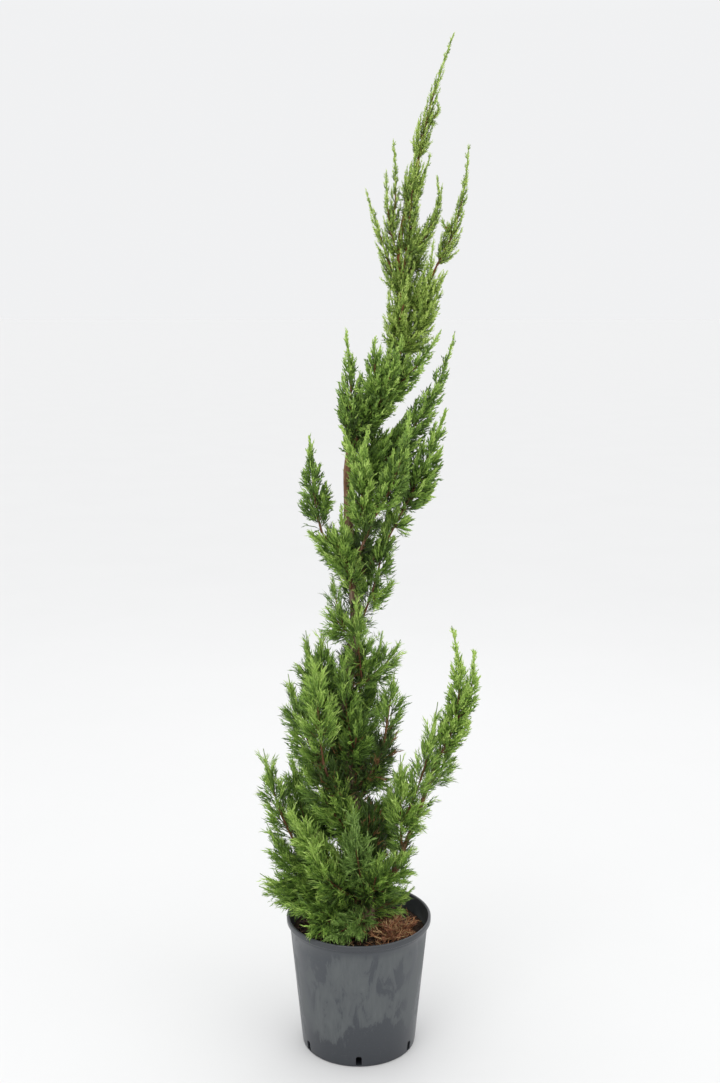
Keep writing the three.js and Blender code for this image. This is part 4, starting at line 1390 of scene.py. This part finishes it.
def soilBed(random):
    rings, sides = soil["rings"], soil["sides"]
    limit = potOuter(soil["edge"]) - pot["wall"] - soil["wallClear"]
    out = np.linspace(0, 1, rings)[1:, None] * limit
    turn = 2 * math.pi * np.arange(sides)[None] / sides
    x, y = out * np.cos(turn), out * np.sin(turn)
    around, along = np.broadcast_to(turn / (2 * math.pi), x.shape), np.broadcast_to(out / limit, x.shape)
    rough = latticeNoise(random, around, along, *soil["lumpCells"])
    rough = rough + soil["grainShare"] * latticeNoise(random, around, along, *soil["grainCells"])
    z = soilHeight(x, y) + soil["lumps"] * (rough - soil["sunk"]) * smooth(along / soil["calmTo"])
    z[-1] = soil["edge"] - soil["edgeDrop"]
    vertices = np.vstack([(0, 0, soil["middle"]), np.column_stack([x.ravel(), y.ravel(), z.ravel()])])
    faces = [(0, 1 + i, 1 + (i + 1) % sides) for i in range(sides)]
    faces += [(a, d, c, b) for a, b, c, d in ringFaces(rings - 1, sides, 1)]  # rings that widen face up
    bed = meshObject("potting_soil", vertices, faces, smoothAngle=soil["sharpAngle"])
    bed.data.materials.append(soilMaterial())
    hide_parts("soil")
    return bed


def chipMesh(name, random):  # a flattened, uneven chip with twelve corners
    golden = (1 + 5**0.5) / 2
    corners = [(0, a, b * golden) for a in (-1, 1) for b in (-1, 1)]
    corners += [(a, b * golden, 0) for a in (-1, 1) for b in (-1, 1)]
    corners += [(b * golden, 0, a) for a in (-1, 1) for b in (-1, 1)]
    chips = strewn["chips"]
    points = unit(np.array(corners, float)) * 0.5 * between(random, chips["uneven"], (len(corners), 1))
    mesh = bpy.data.meshes.new(name)
    shape = bmesh.new()
    for point in points * np.array(chips["flatness"]):
        shape.verts.new(point)
    bmesh.ops.convex_hull(shape, input=shape.verts)
    shape.to_mesh(mesh)
    shape.free()
    setValues(mesh, "young", np.zeros(len(mesh.polygons)), domain="FACE")
    return mesh


def layOut(kind, random):
    limit = potOuter(soil["edge"]) - pot["wall"] - strewn["wallClear"]
    count = kind["count"]
    turn = random.random(count) * 2 * math.pi
    out = limit * np.sqrt(random.random(count))
    x, y = out * np.cos(turn), out * np.sin(turn)
    if kind["heaped"]:
        heap = random.random(count) < kind["heaped"]
        x = np.where(heap, kind["heap"][0] + kind["heapSpread"] * random.standard_normal(count), x)
        y = np.where(heap, kind["heap"][1] + kind["heapSpread"] * random.standard_normal(count), y)
    fromTrunk = np.hypot(x - limbs["route"][0][0], y)
    keep = np.hypot(x, y) < limit - strewn["lengthClear"] * kind["sizes"][1]
    keep = keep & (fromTrunk > strewn["trunkClear"])
    x, y = x[keep], y[keep]
    count = len(x)
    size = mix(*kind["sizes"], random.random(count) ** strewn["smallBias"])
    heading = random.random(count) * 2 * math.pi
    slope = between(random, kind["slopes"], count)
    level = np.cos(slope)
    forward = np.column_stack([np.cos(heading) * level, np.sin(heading) * level, np.sin(slope)])
    side = unit(random.standard_normal((count, 3)))
    z = soilHeight(x, y) + strewn["lift"] + kind["pile"] * random.random(count)
    return {"root": np.column_stack([x, y, z]), "forward": forward, "side": side, "size": size,
            "tint": random.integers(0, kind["tints"], count),
            "shape": random.integers(0, kind["shapes"], count)}


def strew(name, kind, meshes, random):
    shapes = shapeCollection(name + "_shapes", meshes)
    materials = plainMaterials(kind["material"], kind["shades"], {"Roughness": kind["roughness"]})
    piece = scatter(name, layOut(kind, random), scatterTree(kind["tree"], materials), shapes)
    dropCollection(shapes)
    return piece


def makeSoil():
    random = np.random.default_rng(soil["seed"])
    chips, litter = strewn["chips"], strewn["litter"]
    pieces = [soilBed(random)]
    meshes = [chipMesh(f"chip_{i}", random) for i in range(chips["shapes"])]
    pieces.append(strew("soil_chips", chips, meshes, random))
    meshes = [sprigMesh(f"dead_{i}", "brush", random) for i in range(litter["shapes"])]
    pieces.append(strew("dead_litter", litter, meshes, random))
    for piece in pieces:
        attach(piece, body)


makeSoil()
print("soil ready")
